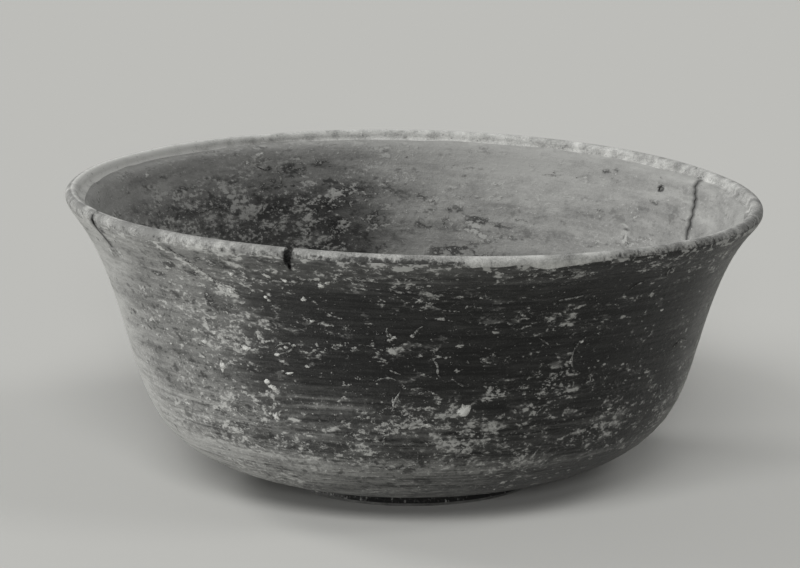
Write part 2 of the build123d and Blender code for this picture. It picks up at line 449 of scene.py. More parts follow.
def inner_fillet(lift):
    return round_corner(LUTING_IN, FILLET_Z, FILLET - lift, 90, 0)


def body_section():
    outside, inside = slip_outside.length, clay_inside.length
    return [
        (0, UNDERSIDE_Z), (SEAT_IN / 2, (UNDERSIDE_Z + SEAT_Z) / 2), (SEAT_IN, SEAT_Z), (SEAT_OUT, SEAT_Z),
        *clay_outside.at(rows(0.02, 0.90, outside, HIDDEN_ROW)),
        *clay_outside.at(rows(0.905, 0.995, outside)),
        *round_corner(LIP_MIDDLE, LIP_Z, LIP_RADIUS, 0, 180, 13),
        *clay_inside.at(rows(0.995, 0.92, inside)), *clay_inside.at(rows(0.90, 0.02, inside, HIDDEN_ROW)),
        (0, FLOOR_Z),
    ]


def outer_slip_section():
    first = (RING_OUT + COAT, FOOT_EDGE)
    return [
        first, (RING_OUT + COAT, (FOOT_EDGE + FILLET_Z) / 2), *outer_fillet(COAT),
        *slip_outside.at(rows(0, 1, slip_outside.length)),
        *clay_outside.at(rows(1, 0, slip_outside.length, HIDDEN_ROW), -SUNK),
        *reversed(outer_fillet(-SUNK)), (RING_OUT - SUNK, FOOT_EDGE), first,
    ]


def inner_slip_section():
    length = slip_inside.length
    return [
        (0, FLOOR_Z + COAT), *slip_inside.at(rows(0.015, 0.55, length, LOW_ROW)),
        *slip_inside.at(rows(0.557, 1, length)),
        *clay_inside.at(rows(1, 0.03, length, HIDDEN_ROW), -SUNK), (0, FLOOR_Z - SUNK),
    ]


print("rows of the two coats:", len(outer_slip_section()), len(inner_slip_section()))

# %% [markdown]
# ## Where a point of the wall is
# Everything done to the clay after turning depends on where a point lies: how far round, how far up
# and on which side. A place read back from the mesh itself still works after the mesh has been cut.
# Soft random fields on a grid that closes round the bowl give the unevenness of hand work.

# %% Azimuth, share and soft random fields
def azimuth_of(places):
    return np.degrees(np.arctan2(places[:, 0], -places[:, 1]))


def degrees_from(azimuth, other):
    """How far round azimuths lie from another one, from -180 to 180 degrees."""
    return (azimuth - other + 180) % 360 - 180


def half_section(places):
    return np.stack([np.hypot(places[:, 0], places[:, 1]), places[:, 2]], 1)


def on_bowl(azimuth, rz):
    """Points from azimuths in degrees and their radius and height."""
    angle = np.radians(azimuth)
    return np.stack([rz[:, 0] * np.sin(angle), -rz[:, 0] * np.cos(angle), rz[:, 1]], 1)


def ease(low_edge, high_edge, value):
    """A smooth step from 0 at the low edge to 1 at the high one."""
    t = np.clip((value - low_edge) / (high_edge - low_edge), 0, 1)
    return t * t * (3 - 2 * t)


def cloud(azimuth, share, around, along, seed):
    """Soft random values from 0 to 1, with this many cells round the bowl and up its wall."""
    table = np.random.default_rng(seed).random((around, along + 2))
    u, v = np.asarray(azimuth) / 360 % 1 * around, np.clip(share, 0, 1) * along
    i, j = np.floor(u).astype(int), np.floor(v).astype(int)
    s, t = ease(0, 1, u - i), ease(0, 1, v - j)
    first = table[i % around, j] * (1 - t) + table[i % around, j + 1] * t
    second = table[(i + 1) % around, j] * (1 - t) + table[(i + 1) % around, j + 1] * t
    return first * (1 - s) + second * s


def round_the_bowl(azimuth, stations):
    """A value that changes smoothly from station to station, each an azimuth and a value."""
    degrees, values = np.array(sorted(stations), float).T
    return np.interp(azimuth, degrees, values, period=360)


# %% [markdown]
# ## The ragged top of each coat
# The bowl was dipped, and later the coat wore off the lip. So neither coat ends in a neat ring: its
# top row slides down the wall by an amount that changes round the bowl, and the coat thins out there.

# %% Slide the tops down
BARE_OUTSIDE = (    # azimuth, and millimetres of bare clay below the lip's rounding
    (-180, 1.3), (-150, 2.2), (-125, 1.2), (-100, 1.8), (-80, 1.6), (-66, 1.4), (-58, 1.2), (-47, 1.3),
    (-38, 0.9), (-30, 0.9), (-22, 0.8), (-15, 0.5), (-8, 0.2), (-2, 0.1), (2, 0.1), (6, 0.3), (7.5, 0.9),
    (9, 1.3), (10.5, 1), (13, 1.2), (15, 0.7), (16.3, 0.3), (17.6, 0.5), (19, 1.4), (21, 2.1), (22.5, 1.7),
    (24, 1.3), (26, 0.7), (28, 0.3), (33, 0.15), (40, 0.1), (55, 0.1), (75, 0.3), (100, 1.2), (130, 0.7),
    (160, 1.6),
)
BARE_INSIDE = (
    (-180, 0.8), (-160, 0.5), (-145, 0.6), (-120, 0.6), (-95, 1.4), (-60, 1.2), (-20, 1), (20, 1),
    (60, 1.2), (90, 1.2), (116, 1), (140, 0.8), (165, 0.9),
)
RAGGED, FRAYED = 0.55, 0.3      # millimetres that the top strays in wide and in short waves
LEAST_BARE = 0.05
THIN_EDGE = 0.08 * MM           # the coat's thickness at its worn top
THINNING = 2.5 * MM             # and how far down it thins


def wear_top(mesh, curve, bare, seed):
    """Slides a coat's rows down its curve and thins it towards its top."""
    places = corners(mesh)
    azimuth, rz = azimuth_of(places), half_section(places)
    share, lift = curve.nearest(rz)
    wide, short = cloud(azimuth, 0, 40, 1, seed) - 0.5, cloud(azimuth, 0, 110, 1, seed + 1) - 0.5
    stray = RAGGED * wide + FRAYED * short
    depth = np.maximum(round_the_bowl(azimuth, bare) + stray, LEAST_BARE) * MM
    slides = (share > 0.03) & (lift > -2 * COAT)
    outer_skin = lift > -COAT / 2
    below_top = (1 - share) * curve.length
    thin = (COAT - THIN_EDGE) * ease(THINNING, 0, below_top)
    new = curve.at(share * (1 - depth / curve.length), np.where(outer_skin, -thin, -COAT - SUNK))
    places[slides] = on_bowl(azimuth, new)[slides]
    move(mesh, places)


# %% [markdown]
# ## Breaks
# The lip has a nick in front and a crack on the left, a longer crack starts just under it inside on
# the right, and small chips lie all round. Each break is a rough solid taken away by a boolean: a
# jagged blade for a crack and a pebble for a chip. Cutting comes before the clay sags, while the
# blades are still easy to aim.

# %% Blades and pebbles
BLADE_FROM, BLADE_TO = 50 * MM, 82 * MM     # radii between which a blade cuts
JAG, LEAST_JAG = 0.16, 0.04 * MM            # how far its edges stray: a share of its width, and at least this


def blade(azimuth, path, random):
    """Points and faces of a jagged blade. The path holds millimetres along the lip, below it, and wide."""
    path = np.array(path, float)
    at = np.linspace(0, len(path) - 1, 4 * len(path) - 3)
    along, down, wide = (np.interp(at, np.arange(len(path)), path[:, k]) * MM for k in range(3))
    angle = radians(azimuth)
    radial, tangent = np.array((sin(angle), -cos(angle), 0)), np.array((cos(angle), sin(angle), 0))
    points, faces = [], []
    for k in range(len(at)):
        stray = random.uniform(-1, 1, 4) * (JAG * wide[k] + LEAST_JAG)
        stray *= 0 < k < len(at) - 1
        for n, (r, side) in enumerate(((BLADE_FROM, -1), (BLADE_FROM, 1), (BLADE_TO, 1), (BLADE_TO, -1))):
            t = along[k] + side * wide[k] / 2 + stray[n]
            points.append(r * radial + t * tangent + np.array((0, 0, HEIGHT - down[k])))
    for k in range(len(at) - 1):
        a, b = 4 * k, 4 * k + 4
        faces += [(a + n, a + (n + 1) % 4, b + (n + 1) % 4, b + n) for n in range(4)]
    last = 4 * (len(at) - 1)
    return points, [(3, 2, 1, 0), *faces, (last, last + 1, last + 2, last + 3)]


def pebble(azimuth, rz, size, random):
    """Points and faces of a rough eight-sided stone in the wall."""
    centre = on_bowl(np.array([azimuth]), np.array([rz]))[0]
    points, faces = [], []
    rings, sides = 4, 8
    points.append(centre - np.array((0, 0, size)))
    for ring in range(1, rings):
        tilt = pi * ring / rings
        for n in range(sides):
            angle = 2 * pi * n / sides
            reach = size * random.uniform(0.75, 1.1)
            spoke = np.array((sin(tilt) * cos(angle), sin(tilt) * sin(angle), -cos(tilt)))
            points.append(centre + reach * spoke)
    points.append(centre + np.array((0, 0, size)))
    top = len(points) - 1
    for n in range(sides):
        m = (n + 1) % sides
        faces.append((0, 1 + m, 1 + n))
        faces += [(1 + n + sides * k, 1 + m + sides * k, 1 + m + sides * (k + 1), 1 + n + sides * (k + 1))
                  for k in range(rings - 2)]
        faces.append((top, top - sides + n, top - sides + m))
    return points, faces


def solid_object(name, shapes):
    """One object from several closed shapes, each a pair of points and faces, with its faces outward."""
    points, faces = [], []
    for some_points, some_faces in shapes:
        faces += [tuple(k + len(points) for k in face) for face in some_faces]
        points += [tuple(map(float, point)) for point in some_points]
    mesh = bpy.data.meshes.new(name)
    mesh.from_pydata(points, [], faces)
    mesh.validate()
    if volume(mesh) < 0:
        mesh.flip_normals()
    return new_object(name, mesh)


NICK = (-20, (
    (0.1, -3, 2), (0, 0.3, 1.9), (0.1, 1.6, 1.3), (-0.1, 2.8, 1.5), (0.1, 3.7, 0.9), (0.1, 4.5, 0.35),
))
LEFT_CRACK = (-64.5, (
    (-0.5, -3, 0.14), (-0.5, 0, 0.14), (-0.3, 1.1, 0.3), (-0.1, 1.9, 1.3), (0.3, 2.7, 0.9), (0.6, 3.6, 0.3),
    (1.4, 5.2, 0.26), (1.9, 7.2, 0.12),
))
RIGHT_CRACK = (116, (
    (-1.5, 2.3, 0.08), (-2.3, 2.8, 0.14), (-2.4, 3.5, 0.2), (-3.6, 4.2, 0.14), (-3.7, 5, 0.3),
    (-4.9, 5.7, 0.2), (-4.9, 6.6, 0.4), (-5.9, 7.3, 0.16), (-5.9, 8.4, 0.26), (-7.1, 9.2, 0.16),
    (-7.2, 10.4, 0.36), (-8.4, 11.3, 0.2), (-8.6, 12.6, 0.26), (-10, 14.5, 0.08),
))
CHIPS = (    # azimuth, millimetres outwards from the lip's middle, above its rounding, and size
    (-65.3, -0.9, 1.3, 1.15), (-63.9, 0.3, 1.7, 0.7), (116.6, 0.9, 1.5, 1.1), (118.3, -0.5, 1.8, 0.8),
    (82, 1.6, 1.3, 0.7), (-93, 1.7, 0.9, 0.8), (-141, 1.6, 1.1, 0.9), (167, 1.5, 1.3, 0.7),
    (139, -1.5, 1.2, 0.6), (-112, -1.6, 1.1, 0.7),
)
PITS = ((124, 0.938, 0.7), (-151, 0.93, 0.5), (36, 0.82, 0.6))      # azimuth, share up the inside, size
random = np.random.default_rng(11)
cracks = solid_object("cracks", [blade(*shape, random) for shape in (NICK, LEFT_CRACK, RIGHT_CRACK)])
chips = solid_object("chips", [
    *(pebble(azimuth, (LIP_MIDDLE + outward * MM, LIP_Z + above * MM), size * MM, random)
      for azimuth, outward, above, size in CHIPS),
    *(pebble(azimuth, slip_inside.at(share, 0.2 * size * MM), size * MM, random)
      for azimuth, share, size in PITS),
])


def take_away(piece, *cutters):
    """Cuts closed shapes out of a piece, and keeps the result as its mesh, in one material."""
    look = piece.data.materials[0]
    for cutter in cutters:
        modifier = piece.modifiers.new("cut", "BOOLEAN")
        modifier.operation, modifier.solver, modifier.object = "DIFFERENCE", "MANIFOLD", cutter
        cut = evaluated_mesh(piece)
        piece.modifiers.remove(modifier)
        cut.name = piece.name
        piece.data = cut
    one_material(piece.data, look)
    print(f"{piece.name} cut: {len(piece.data.polygons)} faces, {volume(piece.data) / MM**3 / 1000:.2f} cm3")


# %% Darker in the breaks
def darken_breaks(mesh):
    """Marks the corners that lie in a crack or a pit, or close to one, to be drawn darker."""
    places = corners(mesh)
    break_darkness = np.zeros(len(places))
    down = (HEIGHT - places[:, 2]) / MM
    for (azimuth, path), reach, dark in ((NICK, 0.5, 1.0), (LEFT_CRACK, 1.6, 0.8), (RIGHT_CRACK, 1.7, 0.85)):
        angle, path = radians(azimuth), np.array(path)
        along = (places[:, 0] * cos(angle) + places[:, 1] * sin(angle)) / MM
        facing = places[:, 0] * sin(angle) - places[:, 1] * cos(angle) > 0
        middle, half = (np.interp(down, path[:, 1], path[:, k]) for k in (0, 2))
        gap = np.abs(along - middle) - half / 2
        beside = facing * (down < path[-1, 1] + 0.3) * (down > max(0.5, path[0, 1] - 0.4))
        break_darkness = np.maximum(break_darkness, dark * ease(reach, 0.05, gap) * beside)
    for azimuth, share, size in PITS:
        centre = on_bowl(np.array([azimuth]), slip_inside.at(np.array([share])))[0]
        break_darkness = np.maximum(break_darkness, 0.6 * ease(1.5, 0.6, np.linalg.norm(places - centre, axis=1) / (size * MM)))
    mark(mesh, "break_darkness", break_darkness)


# %% [markdown]
# ## Hand work and the kiln
# Three things keep a thrown bowl from being perfect. The fingers leave low spiral ridges, the turning
# tool leaves fine lines low down, and in the kiln the rim sags out of level and a little out of
# round. The first two are a relief along the wall, the third is one smooth bend of the whole bowl,
# fitted to the outline in the photograph. The bend only ever lowers the rim, so the bowl stays inside
# the model's box.

# %% Relief of the two sides, and the bend
RIDGE_SPACING, RIDGE_HEIGHT = 2.3 * MM, 0.035 * MM
SWELL, GRAIN, LINE_WANDER = 0.16 * MM, 0.03 * MM, 0.35 * MM
RELIEF_FADE = 1.5 * MM                      # the relief fades out this far under the lip's rounding
DIP, FINE_DIP, INWARD = 0.18 * MM, 0.015 * MM, 0.08 * MM        # how far the lip's edge strays down and in
LINES_OUTSIDE = (    # share up the wall, millimetres wide, millimetres deep (below zero stands out)
    (0.435, 0.5, -0.07), (0.452, 0.5, 0.05), (0.6, 0.5, -0.05), (0.555, 0.9, 0.06), (0.365, 1.4, -0.09),
    (0.34, 0.9, 0.07), (0.285, 0.5, -0.05), (0.275, 0.5, 0.09), (0.24, 0.6, 0.06), (0.21, 0.5, -0.05),
    (0.16, 0.7, 0.07),
)
LINES_INSIDE = (
    (0.885, 0.5, 0.07), (0.823, 0.5, 0.07), (0.7, 0.8, 0.06), (0.42, 0.8, 0.08), (0.3, 0.6, 0.06),
)
LEAN_X, LEAN_Y = -0.0259, 0.0048            # how the rim's plane tips
SHRINK, OVAL_COS, OVAL_SIN = -0.0087, -0.0024, 0.0155
SHIFT_X, SHIFT_Y = 0.0024, 0.0028
WAVE_COS, WAVE_SIN = 0.4442 * MM, -0.1696 * MM
# The curve, the turned lines and the seed of each side
SURFACES = {"outside": (slip_outside, LINES_OUTSIDE, 20), "inside": (slip_inside, LINES_INSIDE, 40)}


def relief(side, azimuth, share):
    """How far the surface stands out from its smooth curve."""
    curve, lines, seed = SURFACES[side]
    length = curve.length
    walked = share * length
    swell = SWELL * (cloud(azimuth, share, 7, 5, seed) - 0.5)
    swell = swell + SWELL / 2 * (cloud(azimuth, share, 19, 12, seed + 1) - 0.5)
    strength = cloud(azimuth, share, 5, 7, seed + 2)
    ridge = RIDGE_HEIGHT * strength * np.sin(2 * pi * (walked / RIDGE_SPACING + azimuth / 360))
    rough = GRAIN * (cloud(azimuth, share, 260, 90, seed + 3) - 0.5)
    height = swell + ridge + rough
    for line, wide, deep in lines:
        wander = LINE_WANDER * (cloud(azimuth, 0, 9, 1, seed + int(1000 * line)) - 0.5)
        fade = ease(0.15, 0.6, cloud(azimuth, 0, 8, 1, seed + int(1000 * line) + 1))
        beside = (walked - line * length - wander) / (wide * MM / 2)
        height = height - deep * MM * fade * np.exp(-(beside**2))
    return height * ease(1, 0.965, share)


def sag(x, y):
    """How much higher the rim's plane is on one side, before it is all brought down."""
    angle = np.arctan2(x, -y)
    return LEAN_X * x + LEAN_Y * y + WAVE_COS * np.cos(2 * angle) + WAVE_SIN * np.sin(2 * angle)


circle = np.radians(np.arange(0, 360, 2))
rim_sag = sag(RIM * np.sin(circle), -RIM * np.cos(circle))
HIGHEST = rim_sag.max()


def bend(places):
    """The bowl as it came out of the kiln."""
    x, y, z = places.T
    up_share, angle = z / HEIGHT, np.arctan2(x, -y)
    scale = 1 + up_share * (SHRINK + OVAL_COS * np.cos(2 * angle) + OVAL_SIN * np.sin(2 * angle))
    low = z + up_share**2 * (sag(x, y) - HIGHEST)
    return np.stack([x * scale + SHIFT_X * z, y * scale + SHIFT_Y * z, low], 1)


def lip_unevenness(places):
    """Small dips along the lip, none of them above it."""
    azimuth = azimuth_of(places)
    share_of_lip = ease(LIP_Z - 2 * MM, HEIGHT, places[:, 2])
    dip = DIP * cloud(azimuth, 0, 26, 1, 71) ** 3 + FINE_DIP * cloud(azimuth, 0, 150, 1, 72)
    inward = INWARD * cloud(azimuth, 0, 40, 1, 73)
    places = places.copy()
    places[:, :2] *= (1 - inward * share_of_lip / RIM)[:, None]
    places[:, 2] -= dip * share_of_lip
    return places


def fire(mesh):
    """Gives a piece of the wall its relief, side by side with the other pieces, and bends it."""
    places = corners(mesh)
    azimuth, rz = azimuth_of(places), half_section(places)
    out_share, out_lift = slip_outside.nearest(rz)
    in_share, in_lift = slip_inside.nearest(rz)
    outside = (np.abs(out_lift) < np.abs(in_lift)) | (rz[:, 1] < SEAT_Z)
    height = np.where(outside, relief("outside", azimuth, out_share), relief("inside", azimuth, in_share))
    height *= ease(0.02, 0.08, np.where(outside, out_share, 1))
    away = np.where(outside[:, None], slip_outside.read(slip_outside.away, out_share),
                    slip_inside.read(slip_inside.away, in_share))
    fade = ease(LIP_Z, LIP_Z - RELIEF_FADE, rz[:, 1])
    raised = on_bowl(azimuth, rz + away * (height * fade)[:, None])
    move(mesh, bend(lip_unevenness(raised)))
    return azimuth, np.where(outside, out_share, in_share), outside


def on_wall(side, azimuth, share, lift):
    """Finished points on one side of the wall, for what lies on the coat."""
    azimuth, share, lift = np.broadcast_arrays(*map(np.atleast_1d, (azimuth, share, lift)))
    rz = SURFACES[side][0].at(share, lift + relief(side, azimuth, share))
    return bend(lip_unevenness(on_bowl(azimuth, rz)))


print(f"the rim dips by {(HIGHEST - rim_sag.min()) / MM:.1f} mm")

# %% [markdown]
# ## Painting
# The coat's looks change from place to place: a pale film where the ground water reached it, crisp
# pale flecks, bare patches and dark stains. Near 80 degrees round on either side of the outside the
# film is raised further as a painted sheen, and a few dark stains low on the right are painted shade.
# Each of these is one value per vertex, laid down from short lists of places and softened with random
# fields. The shader breaks them up into fine grain, so a list says only where something is and how
# strong.

# %% Smudges, bands and the five fields
EVEN_FILM = 0.42        # how milky the hidden floor inside is
FIELD_NAMES = ("film_and_sheen", "fleck", "pale", "stain_and_shade", "edge")


def cosine_sine(tilt):
    """Of a tilt in degrees, given as a list that is empty where there is none."""
    return cos(radians(sum(tilt))), sin(radians(sum(tilt)))


def smudges(azimuth, share, curve, spots):
    """The strongest of many oval smudges, each as strong as it says at its middle and 0 outside."""
    total = np.zeros(len(azimuth))
    for at_azimuth, at_share, wide, high, strength, *tilt in spots:
        across = np.radians(degrees_from(azimuth, at_azimuth)) * curve.at(at_share)[0] / MM
        upward = (share - at_share) * curve.length / MM
        c, s = cosine_sine(tilt)
        x, y = (across * c + upward * s) / (wide / 2), (upward * c - across * s) / (high / 2)
        total = np.maximum(total, strength * np.exp(-((x * x + y * y) ** 1.5)))
    return total


def up_the_wall(share, stations):
    shares, values = np.array(stations, float).T
    return np.interp(share, shares, values)


# Near -80 and 80 degrees the milky film is raised further as a painted sheen of the bright surroundings.
FILM_AND_SHEEN_OUTSIDE = (    # azimuth and how milky the coat is there
    (-180, 0.25), (-160, 0.35), (-140, 0.55), (-115, 0.8), (-95, 1), (-84, 1), (-76, 0.95), (-68, 0.74),
    (-60, 0.56), (-52, 0.46), (-44, 0.42), (-36, 0.26), (-30, 0.05), (-20, 0), (-5, 0), (25, 0), (45, 0),
    (55, 0), (62, 0.08), (70, 0.4), (78, 0.85), (84, 0.95), (94, 0.5), (105, 0.25), (125, 0.3), (150, 0.18),
    (165, 0.2),
)
FLECKS_OUTSIDE = (    # azimuth and how much of the coat the pale flecks cover there
    (-180, 0.45), (-150, 0.6), (-120, 0.45), (-95, 0.2), (-80, 0.1), (-68, 0.15), (-60, 0.32), (-52, 0.46),
    (-45, 0.62), (-34, 0.6), (-28, 0.24), (-20, 0.14), (-10, 0.16), (10, 0.2), (30, 0.22), (50, 0.12),
    (62, 0.1), (75, 0.25), (105, 0.5), (140, 0.42),
)
LOW_FILM = (
    (0, 0), (0.1, 0.02), (0.15, 0.3), (0.27, 0.4), (0.31, 0.38), (0.345, 0.7), (0.375, 0.5), (0.4, 0.17),
    (0.44, 0.19), (0.52, 0.14), (0.57, 0.04), (0.62, 0), (0.86, 0), (0.92, 0.1), (0.97, 0.24), (1, 0.45),
)
LOW_FILM_ROUND = (
    (-180, 0.8), (-120, 0.9), (-80, 1.6), (-56, 1.7), (-40, 1), (-20, 0.95), (0, 0.75), (12, 0.5),
    (24, 0.24), (40, 0.05), (60, 0.05), (72, 0.2), (84, 0.7), (120, 0.7),
)
LOW_FLECKS = (
    (0, 0), (0.1, 0.05), (0.2, 0.05), (0.3, 0.08), (0.36, 0.34), (0.43, 0.5), (0.5, 0.46), (0.55, 0.28),
    (0.6, 0), (0.87, 0), (0.94, 0.32), (1, 0.5),
)
PALE_BANDS = (    # azimuth from and to, share, millimetres high, strength
    (-32, -8, 0.548, 1.3, 0.4), (-30, -6, 0.567, 0.5, 0.3), (-60, -12, 0.435, 0.5, 0.55),
    (-40, -14, 0.465, 0.5, 0.35), (-26, -5, 0.485, 0.8, 0.3), (-62, -40, 0.6, 0.6, 0.45),
    (-60, -10, 0.36, 2.4, 0.6), (18, 48, 0.355, 1.2, 0.45), (-10, 45, 0.343, 0.6, 0.35),
    (-50, 0, 0.31, 0.8, 0.4), (-45, 10, 0.285, 0.6, 0.4), (-40, 10, 0.255, 0.5, 0.3),
    (-45, 0, 0.235, 0.9, 0.45), (50, 75, 0.36, 1.2, 0.3), (95, 140, 0.36, 2, 0.5),
    (-170, -110, 0.4, 1.2, 0.4), (-160, -100, 0.46, 0.6, 0.4), (-15, 20, 0.5, 1.6, 0.2),
    (20, 50, 0.47, 1.6, 0.2), (-75, -20, 0.27, 1, 0.3), (-6, 30, 0.93, 0.8, 0.18),
    (5, 24, 0.905, 0.5, 0.15), (-30, 12, 0.6, 0.6, 0.1),
)
DARK_BANDS = (
    (-36, -10, 0.52, 1.1, 0.6), (-34, -8, 0.408, 1.6, 0.6), (-45, -12, 0.45, 0.6, 0.55),
    (-10, 12, 0.274, 0.55, 0.9), (-30, 20, 0.262, 0.4, 0.5), (-20, 30, 0.22, 0.5, 0.5),
    (-50, -15, 0.335, 0.5, 0.5), (-8, 12, 0.405, 1.2, 0.5), (20, 60, 0.385, 1.2, 0.35),
    (-50, 10, 0.295, 0.35, 0.4), (100, 150, 0.41, 1, 0.5), (-150, -110, 0.36, 1, 0.5),
)


def bands(azimuth, share, curve, some):
    """The strongest of many bands, each faded out along its length by a random field."""
    total = np.zeros(len(azimuth))
    for k, (start, end, at_share, high, strength) in enumerate(some):
        beside = np.abs(degrees_from(azimuth, (start + end) / 2)) - (end - start) / 2
        wander = 0.4 * (cloud(azimuth, 0, 14, 1, 300 + k) - 0.5)
        up = ((share - at_share) * curve.length / MM - wander) / (high / 2)
        broken = 0.35 + cloud(azimuth, 0, 60, 1, 340 + k)
        total = np.maximum(total, strength * broken * ease(4, -4, beside) * np.exp(-(up**2)))
    return total


PALE_OUTSIDE = (    # azimuth, share, millimetres wide and high, strength, and any tilt
    (-45, 0.968, 6, 1.5, 1.4, -35), (-41.5, 0.935, 6, 1.7, 1.5, -35), (-38, 0.902, 6, 1.7, 1.6, -35),
    (-35.3, 0.876, 4.5, 2, 1.6, -35), (-33.2, 0.857, 5.5, 3.8, 1.7, -8), (-56, 0.965, 16, 3.4, 0.6),
    (-30, 0.885, 2.6, 2, 0.9), (-44.5, 0.715, 4.5, 2.2, 0.8), (-42.5, 0.688, 5, 2.6, 0.9),
    (-38.5, 0.715, 4, 2, 0.7), (-35.5, 0.7, 5, 3.2, 0.75), (-32.7, 0.69, 5, 3, 1),
    (-31.5, 0.72, 3, 1.6, 0.7), (-60, 0.5, 7, 5, 0.5), (-62, 0.455, 6, 3, 0.7), (-56.5, 0.435, 8, 2.2, 0.8),
    (-53, 0.49, 5, 2, 0.7), (-64, 0.62, 5, 2, 0.6), (-48, 0.81, 6, 2, 0.5), (-43, 0.81, 5, 1.6, 0.6),
    (-52, 0.76, 7, 2, 0.5), (-38, 0.78, 4, 1.6, 0.5), (-34, 0.775, 4, 1.4, 0.4), (-10, 0.94, 17, 4.5, 0.6),
    (-2, 0.968, 12, 2.4, 0.65), (-18, 0.915, 9, 4, 0.55), (-24, 0.95, 8, 3.4, 0.6),
    (-41, 0.535, 4, 2, 0.55), (0, 0.5, 9, 2.6, 0.65), (3, 0.475, 8, 1.8, 0.5), (7.5, 0.45, 5, 1.6, 0.5, 25),
    (-1, 0.445, 5, 1.2, 0.4), (22, 0.485, 12, 2.2, 0.5), (26, 0.46, 12, 2, 0.55), (35, 0.445, 8, 2.2, 0.8),
    (20, 0.46, 5, 1.4, 0.5), (30, 0.505, 7, 2, 0.5), (32, 0.43, 7, 1.6, 0.5), (15, 0.42, 6, 1.6, 0.4),
    (42, 0.5, 2.6, 1.2, 0.8), (48, 0.46, 6, 4.5, 0.6), (53, 0.5, 6, 2, 0.4), (59, 0.4, 7, 2.4, 0.5),
    (62, 0.645, 7, 1.1, 0.8, -6), (14.5, 0.78, 5, 1.4, 0.5), (11.5, 0.765, 2.6, 1.8, 0.5),
    (-12, 0.955, 9, 4, 0.55), (-6, 0.975, 8, 2.6, 0.6), (-15.2, 0.905, 3.4, 2.4, 0.95),
    (-19, 0.96, 3.4, 5, 0.8), (25, 0.935, 9, 1.6, 0.4, 8), (47, 0.91, 5, 2.6, 0.6),
    (-17, 0.665, 5, 1.2, 0.35, -12), (-16, 0.645, 6, 1.4, 0.3, -8), (-20, 0.555, 17, 1.6, 0.5),
    (-5, 0.552, 9, 1.4, 0.35), (27, 0.8, 3, 1, 0.5), (24, 0.915, 3, 2, 0.45), (-25, 0.345, 22, 2, 0.75, -4),
    (-40, 0.365, 22, 2.6, 0.6, -2), (-4, 0.362, 10, 1.4, 0.85), (28, 0.352, 20, 1.4, 0.6),
    (-16, 0.35, 8, 2.4, 0.6), (-21, 0.3, 9, 3.5, 0.5), (-35, 0.435, 38, 0.9, 0.55), (-52, 0.6, 24, 1, 0.5),
    (3, 0.285, 22, 0.9, 0.5), (-5, 0.235, 16, 1.4, 0.4), (100, 0.55, 14, 5, 0.6),
    (112, 0.75, 10, 6, 0.5, 30), (131, 0.44, 18, 3, 0.6), (148, 0.62, 9, 7, 0.6),
    (152, 0.86, 7, 4, 0.7, -20), (170, 0.4, 16, 3, 0.7), (-172, 0.72, 9, 6, 0.6), (-158, 0.52, 12, 4, 0.7),
    (-150, 0.88, 8, 4, 0.7, 15), (-134, 0.66, 9, 8, 0.7), (-119, 0.8, 7, 3, 0.6), (-105, 0.47, 14, 4, 0.6),
    (-128, 0.36, 30, 2.2, 0.6), (-90, 0.345, 30, 2.4, 0.5), (80, 0.36, 26, 2, 0.6), (118, 0.35, 24, 2, 0.6),
)
STAINS_AND_SHADE_OUTSIDE = (
    (-67, 0.71, 6, 3, 0.5), (-58, 0.7, 9, 4, 0.5), (-45.5, 0.91, 4.5, 2.4, 0.85),
    (-40.5, 0.9, 4.5, 2.6, 0.9, -20), (-38.3, 0.82, 3.2, 4.5, 0.85), (-36, 0.873, 3, 1.6, 0.9, -10),
    (-62, 0.97, 3.5, 4.5, 0.6), (-63, 0.9, 4, 1.6, 0.6), (-42, 0.49, 7, 1.8, 0.8, -22),
    (-37, 0.46, 10, 1.6, 0.8, -6), (-30, 0.45, 9, 1.4, 0.6), (-32, 0.405, 20, 3.2, 0.55),
    (-16, 0.505, 14, 2.4, 0.6), (-15, 0.41, 20, 4, 0.5), (0, 0.405, 9, 2.6, 0.55),
    (20, 0.275, 12, 1.6, 0.6), (2, 0.273, 26, 1.1, 0.9), (-10, 0.7, 26, 16, 0.6), (12, 0.68, 22, 12, 0.5),
    (2, 0.8, 22, 9, 0.35), (-50, 0.87, 8, 2, 0.45), (-47, 0.93, 6, 3, 0.5), (80, 0.95, 10, 3, 0.6),
    (-34, 0.945, 6, 3.5, 0.5), (125, 0.68, 14, 8, 0.6), (162, 0.78, 12, 7, 0.6), (-165, 0.6, 10, 6, 0.6),
    # The patches at 48, 25 and 66 degrees, a quarter of the way up, are painted shade on the underside that
    # faces the card.
    (-145, 0.75, 12, 6, 0.5), (-112, 0.63, 9, 5, 0.4), (100, 0.42, 16, 3, 0.5), (48, 0.26, 30, 9, 0.95),
    (25, 0.24, 20, 7, 0.8), (66, 0.28, 14, 5, 0.75), (-32, 0.48, 9, 3, 0.5), (-40, 0.475, 8, 2.4, 0.45),
    (-22, 0.43, 9, 2, 0.5), (-36, 0.51, 10, 3, 0.6), (-29, 0.5, 8, 4, 0.55), (-38, 0.43, 10, 2.6, 0.5),
    (-9, 0.5, 8, 3, 0.5), (-10, 0.43, 8, 3, 0.5), (-34, 0.66, 5, 2.4, 0.6), (-40, 0.75, 4, 2.6, 0.55),
    (-45, 0.64, 5, 2, 0.5), (-35, 0.8, 4, 3, 0.6), (-29, 0.86, 6, 3, 0.5), (-31, 0.58, 5, 2.4, 0.6),
    (-39, 0.6, 6, 2, 0.55), (-47, 0.8, 5, 2.4, 0.45),
)
FILM_INSIDE = (
    (-180, 0.76), (-174, 0.64), (-168, 0.32), (-162, 0.1), (-155, 0.08), (-145, 0.16), (-130, 0.24),
    (-116, 0.38), (-100, 0.5), (-90, 0.5), (-60, 0.35), (-20, 0.3), (20, 0.4), (60, 0.5), (90, 0.65),
    (110, 0.76), (150, 0.78), (170, 0.77),
)
FLECKS_INSIDE = (
    (-180, 0.48), (-170, 0.5), (-158, 0.6), (-140, 0.74), (-115, 0.74), (-90, 0.5), (-30, 0.4), (30, 0.4),
    (80, 0.35), (120, 0.2), (150, 0.26), (170, 0.38),
)
